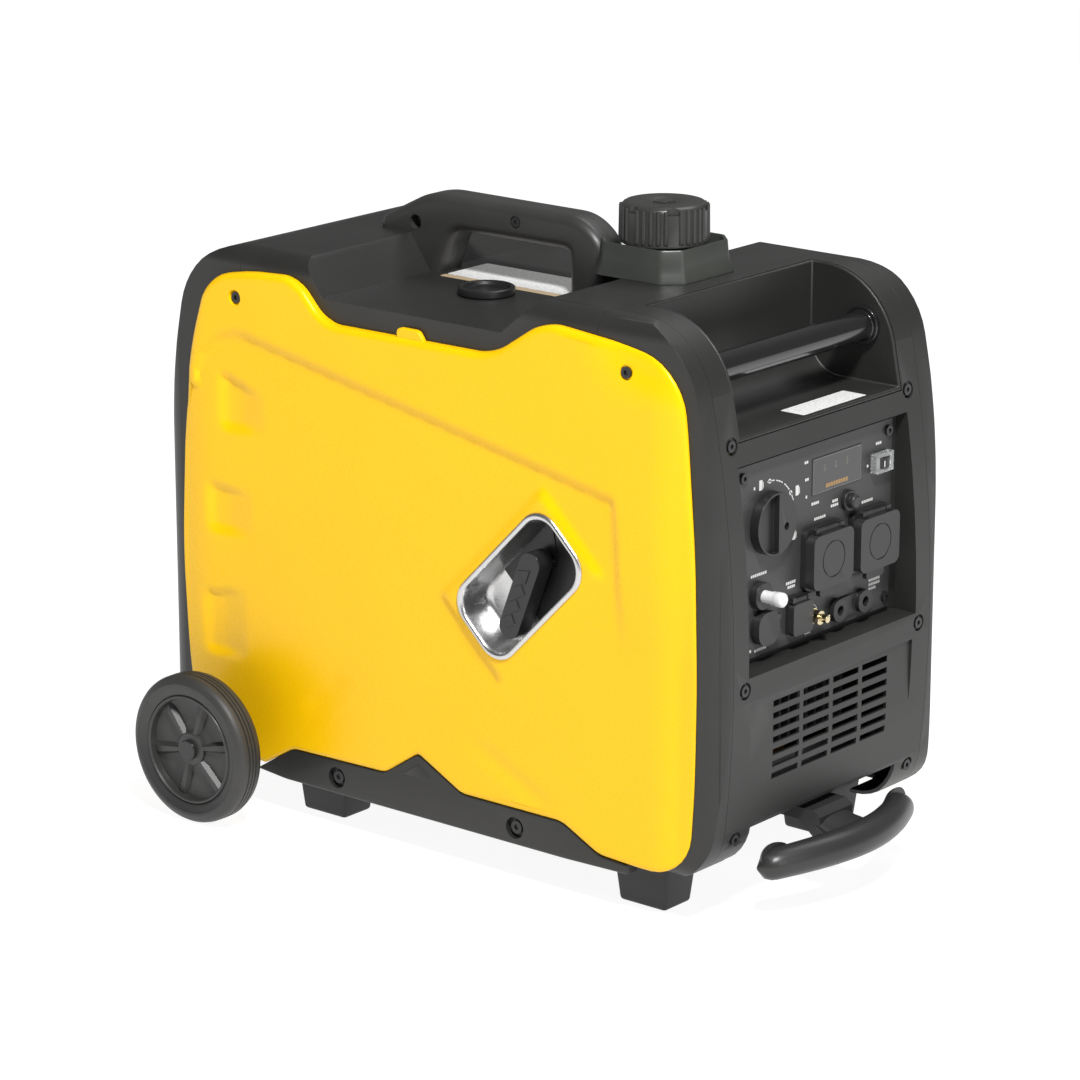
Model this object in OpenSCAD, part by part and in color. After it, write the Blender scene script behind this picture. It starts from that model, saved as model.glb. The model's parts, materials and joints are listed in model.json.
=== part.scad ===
// Enclosed portable inverter generator on two wheels, with a pull-out tow bar. Millimetres.
// +X points to the control panel end, -Y is the recoil starter side, +Z is up, z = 0 is the floor.

/* [Body] */
// Length of the housing over the bulged end faces
body_l = 584; // [540:4:640]
// Height of the roof above the floor
roof_z = 480; // [470:2:520]
// Width over the black housing shells
shell_w = 300; // [290:2:330]
// Height of the lower edge of the shells
base_z = 40; // [36:1:44]
// How far the coloured side covers stand out from the shells
cover_t = 8; // [6:0.5:12]
// Wall thickness of the moulded shells
wall = 3; // [2.5:0.5:4]
// Radius of the barrel curve of the two end faces
bulge_r = 1077; // [900:1:1400]
// Radius of the upper corners of the housing
corner_top = 70; // [60:1:80]
// Radius of the lower corners of the housing
corner_bot = 45; // [38:1:50]
// Depth of the sunken deck under the carry handle
deck_drop = 30; // [24:1:32]

/* [Wheels and feet] */
// Wheel diameter over the tyre
wheel_d = 127; // [120:1:140]
// Width of a wheel
wheel_w = 28; // [24:1:34]
// Distance between the outer faces of the two wheels
track_out = 434; // [430:2:460]
// Distance of the axle behind the middle of the housing
axle_back = 210; // [200:1:216]
// Axle diameter
axle_d = 12; // [10:1:14]
// Radial running clearance in the hub
hub_clear = 0.05; // [0.02:0.01:0.1]
// Foot length
foot_l = 62; // [50:1:70]
// Foot width
foot_w = 44; // [36:1:50]

/* [Tow bar] */
// Width of the T-grip across the machine
grip_w = 196; // [170:2:200]
// Thickness of the grip
grip_d = 28; // [24:1:30]
// How far the middle of the grip stands in front of its ends
grip_bow = 30; // [20:1:36]
// Front of the grip beyond the housing's end face
grip_out = 45; // [40:1:56]
// Width of the sliding bar
bar_w = 36; // [30:1:44]
// Thickness of the sliding bar
bar_t = 10; // [8:1:11]

/* [Carry handle] */
// Height of the top of the carry handle above the roof
handle_rise = 36; // [32:1:46]
// Width of the carry handle
handle_w = 34; // [30:1:38]
// Thickness of the hand grip
handle_t = 29; // [26:1:32]
// Diameter of the grab bar in the front recess
grab_d = 24; // [20:1:26]

/* [Fuel filler] */
// Fuel cap diameter
cap_d = 72.6; // [68:0.2:74]
// Fuel cap height
cap_h = 33; // [28:1:38]
// Distance of the filler in front of the middle of the housing
filler_x = 119.4; // [114:0.2:124]
// Width of the square filler surround at its foot
collar_w = 93; // [88:1:96]

/* [Control panel] */
// Width of the control panel plate
panel_w = 204; // [200:2:210]
// Lower edge of the control panel plate
panel_z0 = 208; // [204:1:210]
// Upper edge of the control panel plate
panel_z1 = 364; // [362:1:366]
// Depth of the panel plate behind the end face at its fullest
panel_back = 20.5; // [18:0.5:22]
// Engine switch knob diameter
knob_d = 50; // [44:1:54]
// Width of one AC socket flap
flap_w = 53; // [48:1:55]
// Height of one AC socket flap
flap_h = 50; // [46:1:54]
// Distance between the two AC sockets
socket_pitch = 63; // [60:1:66]

/* [Starter] */
// Length of the starter recess rim
bezel_l = 134; // [120:1:140]
// Width of the starter recess rim
bezel_w = 72; // [66:1:76]
// Depth of the starter dish
dish_depth = 26; // [22:1:28]
// Length of the starter grip
pull_l = 78; // [66:1:80]
// Rope diameter
rope_d = 5; // [4:0.5:6]
// Radius at which the rope leaves the reel
reel_r = 36; // [32:1:38]

/* [Air grille] */
// Slots in one row of the front grille
slot_cols = 4; // [3:1:5]
// Rows of slots in the front grille
slot_rows = 7; // [5:1:7]
// Height of one slot
slot_h = 5; // [4:0.5:6]

/* [Hidden] */
$fn = 64;
eps = 0.3;
hl = body_l / 2;
hw = shell_w / 2;
cover_y = hw + cover_t;
bulge_z = base_z + 160;
wheel_r = wheel_d / 2;
wheel_z = wheel_r;
tow_front = hl + grip_out;
cx = (tow_front - hl) / 2;             // moves the whole machine so that its box is centred on x = 0
cap_top = roof_z + 24 + cap_h;
cap_z0 = cap_top - cap_h;
deck_z = roof_z - deck_drop;
insert_hw = hw - 18.7;                 // half-width of the end panels let into the frames
front_seam = hl - 120;                 // where the roof cover meets the front parts
rear_seam = -(hl - 92);
panel_x = hl - panel_back;             // front face of the control panel plate
black = [0.22, 0.22, 0.22];
yellow = [1.0, 0.83, 0.02];

// Barrel profile
fc = hl - bulge_r;
zt = roof_z - corner_top;
xt = fc + sqrt(pow(bulge_r - corner_top, 2) - pow(zt - bulge_z, 2));
at = asin((zt - bulge_z) / (bulge_r - corner_top));
zb = base_z + corner_bot;
xb = fc + sqrt(pow(bulge_r - corner_bot, 2) - pow(zb - bulge_z, 2));
ab = asin((zb - bulge_z) / (bulge_r - corner_bot));
function half(t) = concat(
  [for (i = [0:8]) let (a = -90 + (ab + 90) * i / 8) [xb + (corner_bot - t) * cos(a), zb + (corner_bot - t) * sin(a)]],
  [for (i = [1:9]) let (a = ab + (at - ab) * i / 10) [fc + (bulge_r - t) * cos(a), bulge_z + (bulge_r - t) * sin(a)]],
  [for (i = [0:10]) let (a = at + (90 - at) * i / 10) [xt + (corner_top - t) * cos(a), zt + (corner_top - t) * sin(a)]]);
function profile(t) = let (h = half(t), n = len(h)) concat(h, [for (i = [n - 1:-1:0]) [-h[i][0], h[i][1]]]);
function face_x(z) = fc + sqrt(pow(bulge_r, 2) - pow(z - bulge_z, 2));

module at_frame() translate([-cx, 0, 0]) children();
module xz(y0, y1) translate([0, y1, 0]) rotate([90, 0, 0]) linear_extrude(y1 - y0) children();
module box(x0, x1, y0, y1, z0, z1) translate([x0, y0, z0]) cube([x1 - x0, y1 - y0, z1 - z0]);
module xcyl(x0, x1, y, z, r) translate([x0, y, z]) rotate([0, 90, 0]) cylinder(h = x1 - x0, r = r);
module ycyl(y0, y1, x, z, r) translate([x, y0, z]) rotate([-90, 0, 0]) cylinder(h = y1 - y0, r = r);
module zcyl(z0, z1, x, y, r) translate([x, y, z0]) cylinder(h = z1 - z0, r = r);
module rrect(l, w, r) { square([l - 2 * r, w], center = true); square([l, w - 2 * r], center = true);
  for (i = [-1, 1], j = [-1, 1]) translate([i * (l / 2 - r), j * (w / 2 - r)]) circle(r); }

// Solid bounded by the barrel profile, with softened vertical and roof edges
module body_solid(t, w) intersection() {
  xz(-w, w) polygon(profile(t));
  translate([0, 0, base_z - 5]) linear_extrude(roof_z) rrect(body_l - 2 * t, 2 * w, 20 - t);
  translate([-hl, 0, 0]) rotate([90, 0, 90]) linear_extrude(body_l)
    translate([0, (base_z + roof_z) / 2]) rrect(2 * w, roof_z - base_z - 2 * t + 0.01, 16 - t);
}
module shell() difference() { body_solid(0, hw); body_solid(wall, hw - wall); }

dip_x0 = -148; dip_x1 = -105; dip_x2 = 72; dip_x3 = 122;
cover_top = roof_z - 14;
cover_dip = roof_z - 48;
cover_screw_x = [-200.3, 204.9];
cover_screw_z = roof_z - 40.8;
skirt_screw_x = [-99.4, 91.8];
skirt_screw_z = base_z + 7.3;

// ---- base ----
tray_z = base_z + 36;
module base_tray() color(black) at_frame() difference() {
  union() {
    box(-hl + 34, hl - 48, -hw + 12, hw - 12, tray_z, tray_z + 4);
    for (s = [-1, 1]) box(-hl + 60, hl - 60, s * (hw - 14) - 2, s * (hw - 14) + 2, tray_z + 4, tray_z + 24);
    for (x = [-hl + 40, hl - 60]) box(x, x + 4, -hw + 30, hw - 30, tray_z + 4, tray_z + 24);
    for (x = [-138, 201], y = [-110, 110]) translate([x, y, tray_z - 6]) cylinder(h = 6.0, r = 13);
    for (s = [-1, 1]) difference() {
      box(-axle_back - 16, -axle_back + 16, s * 120 - 8, s * 120 + 8, wheel_z - 12, tray_z);
      ycyl(s * 120 - 9, s * 120 + 9, -axle_back, wheel_z, axle_d / 2);
    }
  }
  for (x = [-138, 201], y = [-110, 110]) translate([x, y, tray_z - 7]) cylinder(h = 30, r = 3.2);
  for (x = [-60:30:60], y = [-60, 60]) box(x - 8, x + 8, y - 22, y + 22, tray_z - 1, tray_z + 5);
}
module skirt(s) color(black) at_frame() difference() {
  xz(s > 0 ? hw - 10 : -hw - 3, s > 0 ? hw + 3 : -hw + 10)
    polygon([[-184, base_z - 2], [-148, 61], [-48, 61], [-8, 86], [36, 61], [141, 61], [178, 43], [172, base_z - 7],
      [-176, base_z - 4]]);
  for (x = skirt_screw_x) {
    ycyl(s > 0 ? hw - 11 : -hw - 4, s > 0 ? hw + 4 : -hw + 11, x, skirt_screw_z, 2.6);
    ycyl(s > 0 ? hw - 2 : -hw - 4, s > 0 ? hw + 4 : -hw + 2, x, skirt_screw_z, 9);
  }
}
module side_skirt_left() skirt(-1);
module side_skirt_right() skirt(1);
module feet() color([0.13, 0.13, 0.13]) at_frame() for (x = [-138, 201], y = [-110, 110]) translate([x, y, 0])
  difference() {
    union() {
      linear_extrude(tray_z - 6 - eps) rrect(foot_l - 22, foot_w - 10, 6);
      for (k = [0:3]) translate([0, 0, k * 8]) linear_extrude(8.0) rrect(foot_l - 9 + 3 * k, foot_w - 6 + 2 * k, 7);
    }
    translate([0, 0, -1]) cylinder(h = 10, r = 7);
    translate([0, 0, -1]) cylinder(h = tray_z, r = 3.2);
  }

// ---- housing ends ----
module end_frame(s) difference() {
  intersection() {
    shell();
    if (s > 0) box(front_seam + eps, hl + 9, -hw - 1, hw + 1, base_z, roof_z + 9);
    else box(-hl - 9, rear_seam - eps, -hw - 1, hw + 1, base_z, roof_z + 9);
  }
  box(s > 0 ? 90 : -hl - 9, s > 0 ? hl + 9 : -90, -insert_hw - eps, insert_hw + eps, base_z + 8, roof_z + 9);
  box(-hl, hl, -105, 105, base_z - 1, tray_z - 1);
  box(-hl + 40, hl - 56, -hw + 9, hw - 9, base_z - 1, tray_z + 30);
  ycyl(-hw - 1, hw + 1, -axle_back, wheel_z, axle_d / 2 + 2);
  for (x = cover_screw_x) ycyl(-hw - 1, hw + 1, x, cover_screw_z, 2.6);
  for (s2 = [-1, 1]) skirt_gap(s2);
}
module skirt_gap(s) xz(s > 0 ? hw - 10 - eps : -hw - 4, s > 0 ? hw + 4 : -hw + 10 + eps)
  polygon([[-190, base_z - 9], [-190, base_z], [-152, 63], [-49, 63], [-8, 89], [37, 63], [143, 63], [184, 43],
    [184, base_z - 9]]);
module front_frame() color(black) at_frame() end_frame(1);
module rear_frame() color(black) at_frame() end_frame(-1);

tub_x0 = hl - 107; tub_z0 = roof_z - 94; tub_hw = 108;
open_hw = 112; open_z0 = 203; open_z1 = 368;
shell_screw = [[-116.3, 385], [-116.3, 194], [-116.3, 71]];
seat = 2.2;                            // depth of the screw counterbores in the end faces
module tub_solid(t) intersection() {
  box(tub_x0 - t, hl + 20, -tub_hw - t, tub_hw + t, tub_z0 - t, roof_z + 20);
  union() { box(tub_x0 - t, hl + 20, -tub_hw - t, tub_hw + t, tub_z0 - t + 30, roof_z + 20);
    box(tub_x0 - t + 30, hl + 20, -tub_hw - t, tub_hw + t, tub_z0 - t, roof_z + 20);
    ycyl(-tub_hw - t, tub_hw + t, tub_x0 + 30, tub_z0 + 30, 30 + t); }
}
module front_panel() color(black) at_frame() difference() {
  union() {
    intersection() {
      shell();
      box(front_seam + eps, hl + 9, -insert_hw, insert_hw, base_z + 9, roof_z + 9);
    }
    // walls of the control recess
    intersection() {
      difference() {
        box(panel_x - wall - 2, hl + 9, -open_hw - wall, open_hw + wall, open_z0 - wall, open_z1 + wall);
        box(panel_x - wall - 3, hl + 10, -open_hw, open_hw, open_z0, open_z1);
      }
      body_solid(0.5, hw - 1);
    }
    // land behind the control panel plate
    difference() {
      box(panel_x - 2 * wall - 2, panel_x - wall - 0.2, -open_hw - wall, open_hw + wall, open_z0 - wall, open_z1 + wall);
      box(panel_x - 3 * wall, panel_x, -panel_w / 2 + 8, panel_w / 2 - 8, panel_z0 + 5, panel_z1 - 8);
    }
  }
  tub_solid(eps);
  box(front_seam - 4, hl - 87, -tub_hw - 4, tub_hw + 4, tub_z0 - 4, roof_z - wall - 0.05);
  box(panel_x + 0.01, hl + 10, -open_hw, open_hw, open_z0, open_z1);
  for (p = panel_screw) xcyl(panel_x - 12, panel_x, p[0], p[1], 2.1);
  box(hl - 50, hl + 10, -98, 98, base_z, 77);
  box(0, hl - 44, -insert_hw - 9, insert_hw + 9, base_z - 9, tray_z + 25);
  for (m = [-1, 1], p = shell_screw) {
    xcyl(hl - 60, hl + 9, m * p[0], p[1], 2.6);
    xcyl(face_x(p[1]) - seat, hl + 9, m * p[0], p[1], 7);
  }
  for (c = [0:slot_cols - 1], r = [0:slot_rows - 1])
    box(hl - 30, hl + 9, -79 + c * 158 / slot_cols + 2.5, -79 + (c + 1) * 158 / slot_cols - 2.5,
      114 - slot_h / 2 + r * 9.9, 114 + slot_h / 2 + r * 9.9);
  box(face_x(144) - 1, hl + 9, -108, 108, 105, 182);
}
module grab_recess_tub() color([0.16, 0.16, 0.16]) at_frame() difference() {
  intersection() { tub_solid(0); body_solid(0, hw - 2); }
  translate([wall, 0, wall]) intersection() {
    box(tub_x0, hl + 20, -tub_hw + wall, tub_hw - wall, tub_z0, roof_z + 20);
    union() { box(tub_x0, hl + 20, -tub_hw, tub_hw, tub_z0 + 30, roof_z + 20);
      box(tub_x0 + 30, hl + 20, -tub_hw, tub_hw, tub_z0, roof_z + 20);
      ycyl(-tub_hw, tub_hw, tub_x0 + 30, tub_z0 + 30, 30); }
  }
  ycyl(-tub_hw - 1, tub_hw + 1, grab_x, grab_z, grab_d / 2);
}
grab_x = hl - 52; grab_z = roof_z - 45;
module grab_bar() color([0.1, 0.1, 0.1]) at_frame() difference() {
  union() {
    ycyl(-tub_hw - 8, tub_hw + 8, grab_x, grab_z, grab_d / 2 - 0.02);
    for (s = [-1, 1]) ycyl(s > 0 ? tub_hw - wall - 5 : -tub_hw + wall + 0.02, s > 0 ? tub_hw - wall - 0.02 : -tub_hw + wall + 5,
      grab_x, grab_z, grab_d / 2 + 4);
  }
  ycyl(-tub_hw - 9, tub_hw + 9, grab_x, grab_z, grab_d / 2 - 2.5);
}
module rear_panel() color(black) at_frame() difference() {
  intersection() {
    shell();
    box(-hl - 9, rear_seam - eps, -insert_hw, insert_hw, base_z + 9, roof_z + 9);
  }
  box(-hl + 44, 0, -insert_hw - 9, insert_hw + 9, base_z - 9, tray_z + 25);
  box(-hl - 9, -hl + 50, -105, 105, base_z, tray_z + 4);
  for (m = [-1, 1], p = shell_screw) {
    xcyl(-hl - 9, -hl + 60, m * p[0], p[1], 2.6);
    xcyl(-hl - 9, -face_x(p[1]) + seat, m * p[0], p[1], 7);
  }
  for (r = [0:11]) box(-hl - 9, -hl + 30, -70, 20, 150 + 12 * r, 156 + 12 * r);
  xcyl(-hl - 9, -hl + 30, 65, 230, 26);
}

// ---- roof ----
module deck_notch(t) xz(-hw - 2, hw + 2) polygon([[dip_x0 + 8, roof_z + 20], [dip_x0 + 14, roof_z + 2],
  [dip_x1 - 6 + t, deck_z + t], [dip_x2 + 4 - t, deck_z + t], [dip_x3 - 8 - t, roof_z + 1], [dip_x3 - 4, roof_z + 20]]);
module top_cover() color(black) at_frame() difference() {
  union() {
    difference() {
      intersection() {
        union() {
          difference() { body_solid(0, hw); body_solid(wall, hw - wall); }
          difference() {
            intersection() { body_solid(0.5, hw - 0.5); translate([0, 0, -wall]) deck_notch(0); }
            deck_notch(0);
          }
        }
        box(rear_seam, front_seam, -hw - 1, hw + 1, cover_dip - 22, roof_z + 9);
      }
      deck_notch(0);
    }
  }
  // filler opening and plug opening
  zcyl(deck_z - 40, roof_z + 9, filler_x, 0, 33);
  zcyl(deck_z - 40, roof_z + 9, -20, -53, 20);
  for (x = cover_screw_x) ycyl(-hw - 1, hw + 1, x, cover_screw_z, 2.6);
}

// ---- coloured side covers ----
module cover_outline() difference() {
  union() {
    polygon(concat(half(20), [for (i = [len(half(14)) - 1:-1:0]) let (p = half(14)[i]) [-p[0], p[1]]]));
    intersection() {
      translate([-17, 0]) polygon(profile(3));
      translate([11, 0]) polygon(profile(3));
      translate([-hl, 0]) square([body_l, bulge_z]);
    }
  }
  polygon([[dip_x0, roof_z + 9], [dip_x0 + 8, cover_top - 2], [dip_x1, cover_dip], [dip_x2, cover_dip],
    [dip_x3, cover_top - 2], [dip_x3 + 9, roof_z + 9]]);
  polygon([[-182, base_z - 9], [-182, base_z + 3], [-148, 62], [-47, 62], [-8, 87.5], [36, 62], [142, 62], [180, 43.8],
    [200, base_z - 9]]);
}
sx = 101; sz = 251; sa = 45.5;      // centre and slant of the starter recess
module bezel_shape(g) translate([sx, sz]) rotate(sa) rrect(bezel_l + 2 * g, bezel_w + 2 * g, 22 + g);
module cover(s) difference() {
  union() {
    xz(s > 0 ? hw + eps : -cover_y + 2.5, s > 0 ? cover_y - 2.5 : -hw - eps) cover_outline();
    xz(s > 0 ? hw + eps : -cover_y, s > 0 ? cover_y : -hw - eps) intersection() {
      cover_outline();
      translate([-6, 0]) translate([0, -6]) cover_outline();
      translate([6, 0]) translate([0, 5]) cover_outline();
    }
    xz(s > 0 ? hw + eps : -hw - 3, s > 0 ? hw + 3 : -hw - eps) translate([-19, cover_dip - 1]) square([26, 8]);
  }
  for (x = cover_screw_x) {
    ycyl(s > 0 ? hw - 1 : -cover_y - 1, s > 0 ? cover_y + 1 : -hw + 1, x, cover_screw_z, 2.6);
    ycyl(s > 0 ? hw + 4 : -cover_y - 1, s > 0 ? cover_y + 1 : -hw - 4, x, cover_screw_z, 5.6);
  }
  ycyl(s > 0 ? hw - 1 : -cover_y - 1, s > 0 ? cover_y + 1 : -hw + 1, -axle_back, wheel_z, axle_d / 2 + 1.5);
}
module side_cover_left() color(yellow) at_frame() difference() {
  cover(-1);
  xz(-cover_y - 1, -hw + 1) bezel_shape(0.3);
}
module side_cover_right() color(yellow) at_frame() difference() {
  cover(1);
  for (r = [0:7]) xz(hw - 1, cover_y + 1) translate([60 + 3 * r, 150 + 14 * r]) square([90, 6]);
}

// ---- carry handle, two half shells ----
hz1 = roof_z + handle_rise; hz0 = hz1 - handle_t;
module handle_side() difference() {
  polygon([[-168, roof_z + eps], [-160, roof_z + 3], [-112, hz1 - 4], [-98, hz1], [52, hz1], [66, hz1 - 8], [72, roof_z + 2],
    [66, deck_z + 14], [46, deck_z + eps], [36, deck_z + eps], [36, hz0 - 8], [28, hz0], [-78, hz0], [-92, hz0 - 8],
    [-98, deck_z + eps], [-104, deck_z + eps], [-128, roof_z + eps]]);
}
handle_screw = [-20, 503];              // x and z of the screw joining the two handle halves
module handle_half(s) difference() {
  xz(s > 0 ? 0.1 : -handle_w / 2, s > 0 ? handle_w / 2 : -0.1) handle_side();
  xz(s > 0 ? -1 : -handle_w / 2 + wall, s > 0 ? handle_w / 2 - wall : 1)
    polygon([[-100, hz0 + wall], [-92, hz1 - wall], [50, hz1 - wall], [60, hz0 + wall]]);
  if (s < 0) {
    ycyl(-handle_w / 2 + 1.9, -handle_w / 2 + wall + 1, handle_screw[0], handle_screw[1], 2.2);
    ycyl(-handle_w / 2 - 1, -handle_w / 2 + 2, handle_screw[0], handle_screw[1], 5);
    ycyl(-handle_w / 2 - 1, -handle_w / 2 + 9, -127.3, 489.5, 6);
  }
}
module carry_handle_left() color(black) at_frame() handle_half(-1);
module carry_handle_right() color(black) at_frame() handle_half(1);

// ---- fuel filler ----
collar_top = cap_z0 + 2;
neck_r = 27; neck_bore = 21;
module filler_surround() color([0.27, 0.29, 0.27]) at_frame() translate([filler_x, 0, 0]) difference() {
  union() {
    for (k = [0:5]) translate([0, 0, roof_z + eps + k * (collar_top - roof_z - eps) / 6])
      linear_extrude((collar_top - roof_z - eps) / 6 + (k < 5 ? 0.01 : 0)) rrect(collar_w - 2 * k, collar_w - 2 * k, 16 - k);
  }
  zcyl(roof_z + 4, collar_top + 1, 0, 0, cap_d / 2 + 1.6);
  zcyl(roof_z - 1, collar_top + 1, 0, 0, neck_r + 0.6);
  box(-filler_x - 40, -collar_w / 2 + 1.2, -30, 30, roof_z - 1, collar_top + 1);
}
module fuel_tank() color([0.16, 0.16, 0.17]) at_frame() difference() {
  union() {
    translate([(20 + 170) / 2, 0, 335]) linear_extrude(roof_z - 35 - 335) rrect(150, 216, 18);
    zcyl(roof_z - 40, cap_z0 + 8, filler_x, 0, neck_r);
  }
  translate([(20 + 170) / 2, 0, 338]) linear_extrude(roof_z - 38 - 338) rrect(144, 210, 15);
  zcyl(roof_z - 50, cap_z0 + 9, filler_x, 0, neck_bore);
}
module fuel_cap() color([0.2, 0.2, 0.19]) at_frame() translate([filler_x, 0, 0]) difference() {
  union() {
    zcyl(cap_z0, cap_top - 2, 0, 0, cap_d / 2 - 1.2);
    zcyl(cap_top - 2.01, cap_top, 0, 0, cap_d / 2 - 3);
    for (i = [0:31]) rotate([0, 0, i * 360 / 32]) translate([cap_d / 2 - 2.5, 0, cap_z0 + 1.5]) cylinder(h = cap_h - 5, r = 2.5, $fn = 16);
  }
  zcyl(cap_z0 - 1, cap_z0 + 13, 0, 0, neck_r + 1.2);
  for (i = [0:5]) rotate([0, 0, 30 + i * 60]) translate([cap_d / 2 + 3, 0, cap_top - 5]) cylinder(h = 6, r = 8);
  zcyl(cap_top - 0.8, cap_top + 1, 0, 0, 14);
}
module cap_plug() color([0.09, 0.09, 0.09]) at_frame() translate([filler_x, 0, 0])
  zcyl(cap_z0 + 8.1, cap_z0 + 12.8, 0, 0, neck_r - 0.5);

// ---- control panel ----
pz = panel_z0; pcz = (panel_z0 + panel_z1) / 2;
knob_y = -61.5; knob_z = 313; ac_z = 272.5; ac_y = 6.5;
reset_y = 42; reset_z = 309; eco_y = 84; eco_z = 332;
brk_y = -75; brk_z = 258; dc_y = -70; dc_z = 231; usb_y = -25; usb_z = 231;
par_y = 28; par_z = 222; gnd_y = -3; gnd_z = 224;
module control_panel() color([0.2, 0.2, 0.2]) at_frame() difference() {
  box(panel_x - wall, panel_x, -panel_w / 2, panel_w / 2, panel_z0, panel_z1);
  box(panel_x - wall - 1, panel_x + 1, -6, 60, 322, 352);
  xcyl(panel_x - wall - 1, panel_x + 1, knob_y, knob_z, 5);
  xcyl(panel_x - wall - 1, panel_x + 1, reset_y, reset_z, 6.4);
  box(panel_x - wall - 1, panel_x + 1, eco_y - 9, eco_y + 9, eco_z - 6, eco_z + 6);
  for (k = [0, 1]) xcyl(panel_x - wall - 1, panel_x + 1, ac_y + k * socket_pitch, ac_z, 20);
  xcyl(panel_x - wall - 1, panel_x + 1, brk_y, brk_z, 6);
  xcyl(panel_x - wall - 1, panel_x + 1, dc_y, dc_z, 11.5);
  box(panel_x - wall - 1, panel_x + 1, usb_y - 9, usb_y + 9, usb_z - 10, usb_z + 10);
  for (k = [0, 1]) xcyl(panel_x - wall - 1, panel_x + 1, par_y + k * 34, par_z, 7.5);
  xcyl(panel_x - wall - 1, panel_x + 1, gnd_y, gnd_z, 3.1);
  for (p = panel_screw) xcyl(panel_x - wall - 1, panel_x + 1, p[0], p[1], 2.2);
}
panel_screw = [[-96, 355], [96, 355], [-96, 217], [96, 217]];
module screw_x(x, y, z, rh, rs, l) difference() {
  union() { xcyl(x - l, x, y, z, rs); xcyl(x, x + 2.2, y, z, rh); }
  xcyl(x + 0.8, x + 3, y, z, rh * 0.42);
}
module shell_screws() color([0.12, 0.12, 0.12]) at_frame() for (e = [0, 1]) mirror([e, 0, 0])
  for (m = [-1, 1], p = shell_screw)
    screw_x(face_x(p[1]) - seat + 0.02, m * p[0], p[1], 4.6, 2.3, 12);
module panel_screws() color([0.12, 0.12, 0.12]) at_frame() for (p = panel_screw)
  screw_x(panel_x + 0.01, p[0], p[1], 4.4, 2.0, 9);
module cover_screws() color([0.12, 0.12, 0.12]) at_frame() {
  for (s = [-1, 1]) {
    for (x = cover_screw_x) difference() {
      union() { ycyl(s > 0 ? hw - 12 : -hw - 4.02, s > 0 ? hw + 4.02 : -hw + 12, x, cover_screw_z, 2.3);
        ycyl(s > 0 ? hw + 4.02 : -hw - 6.4, s > 0 ? hw + 6.4 : -hw - 4.02, x, cover_screw_z, 4.7); }
      ycyl(s > 0 ? hw + 5 : -hw - 8, s > 0 ? hw + 8 : -hw - 5, x, cover_screw_z, 2);
    }
    for (x = skirt_screw_x) difference() {
      union() { ycyl(s > 0 ? hw - 16 : -hw + 1.98, s > 0 ? hw - 1.98 : -hw + 16, x, skirt_screw_z, 2.3);
        ycyl(s > 0 ? hw - 1.98 : -hw - 0.6, s > 0 ? hw + 0.6 : -hw + 1.98, x, skirt_screw_z, 5.4); }
      ycyl(s > 0 ? hw - 0.8 : -hw - 2, s > 0 ? hw + 2 : -hw + 0.8, x, skirt_screw_z, 2.2);
    }
  }
  difference() {
    union() { ycyl(-handle_w / 2 + 2.02, -handle_w / 2 + 12, handle_screw[0], handle_screw[1], 2); ycyl(-handle_w / 2 + 0.4, -handle_w / 2 + 2, handle_screw[0], handle_screw[1], 4.2); }
    ycyl(-handle_w / 2 - 1, -handle_w / 2 + 1.4, handle_screw[0], handle_screw[1], 1.8);
  }
}
module display_window() color([0.12, 0.12, 0.12]) at_frame() union() {
  box(panel_x - wall, panel_x + 0.6, -5.8, 59.8, 322.2, 351.8);
  box(panel_x - wall - 14, panel_x - wall - 0.02, -10, 64, 318, 356);
}
module engine_switch_knob() color([0.16, 0.16, 0.16]) at_frame() difference() {
  union() { xcyl(panel_x + 0.4, panel_x + 8.4, knob_y, knob_z, knob_d / 2); xcyl(panel_x - 12, panel_x + 0.5, knob_y, knob_z, 4.95); }
  intersection() {
    xcyl(panel_x + 3, panel_x + 12, knob_y, knob_z, knob_d / 2 - 1.6);
    box(panel_x, panel_x + 12, knob_y - 30, knob_y + 2, knob_z - 30, knob_z + 30);
  }
  xcyl(panel_x + 5, panel_x + 12, knob_y + 12, knob_z - 4, 3);
}
module eco_switch_housing() color([0.85, 0.85, 0.85, 0.6]) at_frame() difference() {
  union() {
    box(panel_x + 0.02, panel_x + 7, eco_y - 12, eco_y + 12, eco_z - 8, eco_z + 8);
    box(panel_x - 10, panel_x + 0.02, eco_y - 8.8, eco_y + 8.8, eco_z - 5.8, eco_z + 5.8);
  }
  box(panel_x - 2, panel_x + 12, eco_y - 7, eco_y + 7, eco_z - 4.4, eco_z + 4.4);
}
module eco_rocker() color([0.15, 0.15, 0.15]) at_frame() intersection() {
  box(panel_x + 0.5, panel_x + 13, eco_y - 6.4, eco_y + 6.4, eco_z - 4.2, eco_z + 4.2);
  zcyl(eco_z - 5, eco_z + 5, panel_x + 2.5, eco_y, 6.4);
}
module ac_reset_body() color([0.14, 0.14, 0.14]) at_frame() difference() {
  union() { xcyl(panel_x + 0.02, panel_x + 4, reset_y, reset_z, 8.6); xcyl(panel_x - 14, panel_x + 0.02, reset_y, reset_z, 6.2); }
  xcyl(panel_x - 9, panel_x + 5, reset_y, reset_z, 5.55);
}
module ac_reset_button() color([0.12, 0.12, 0.12]) at_frame() union() {
  xcyl(panel_x - 4, panel_x + 10, reset_y, reset_z, 5.5);
}
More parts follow.
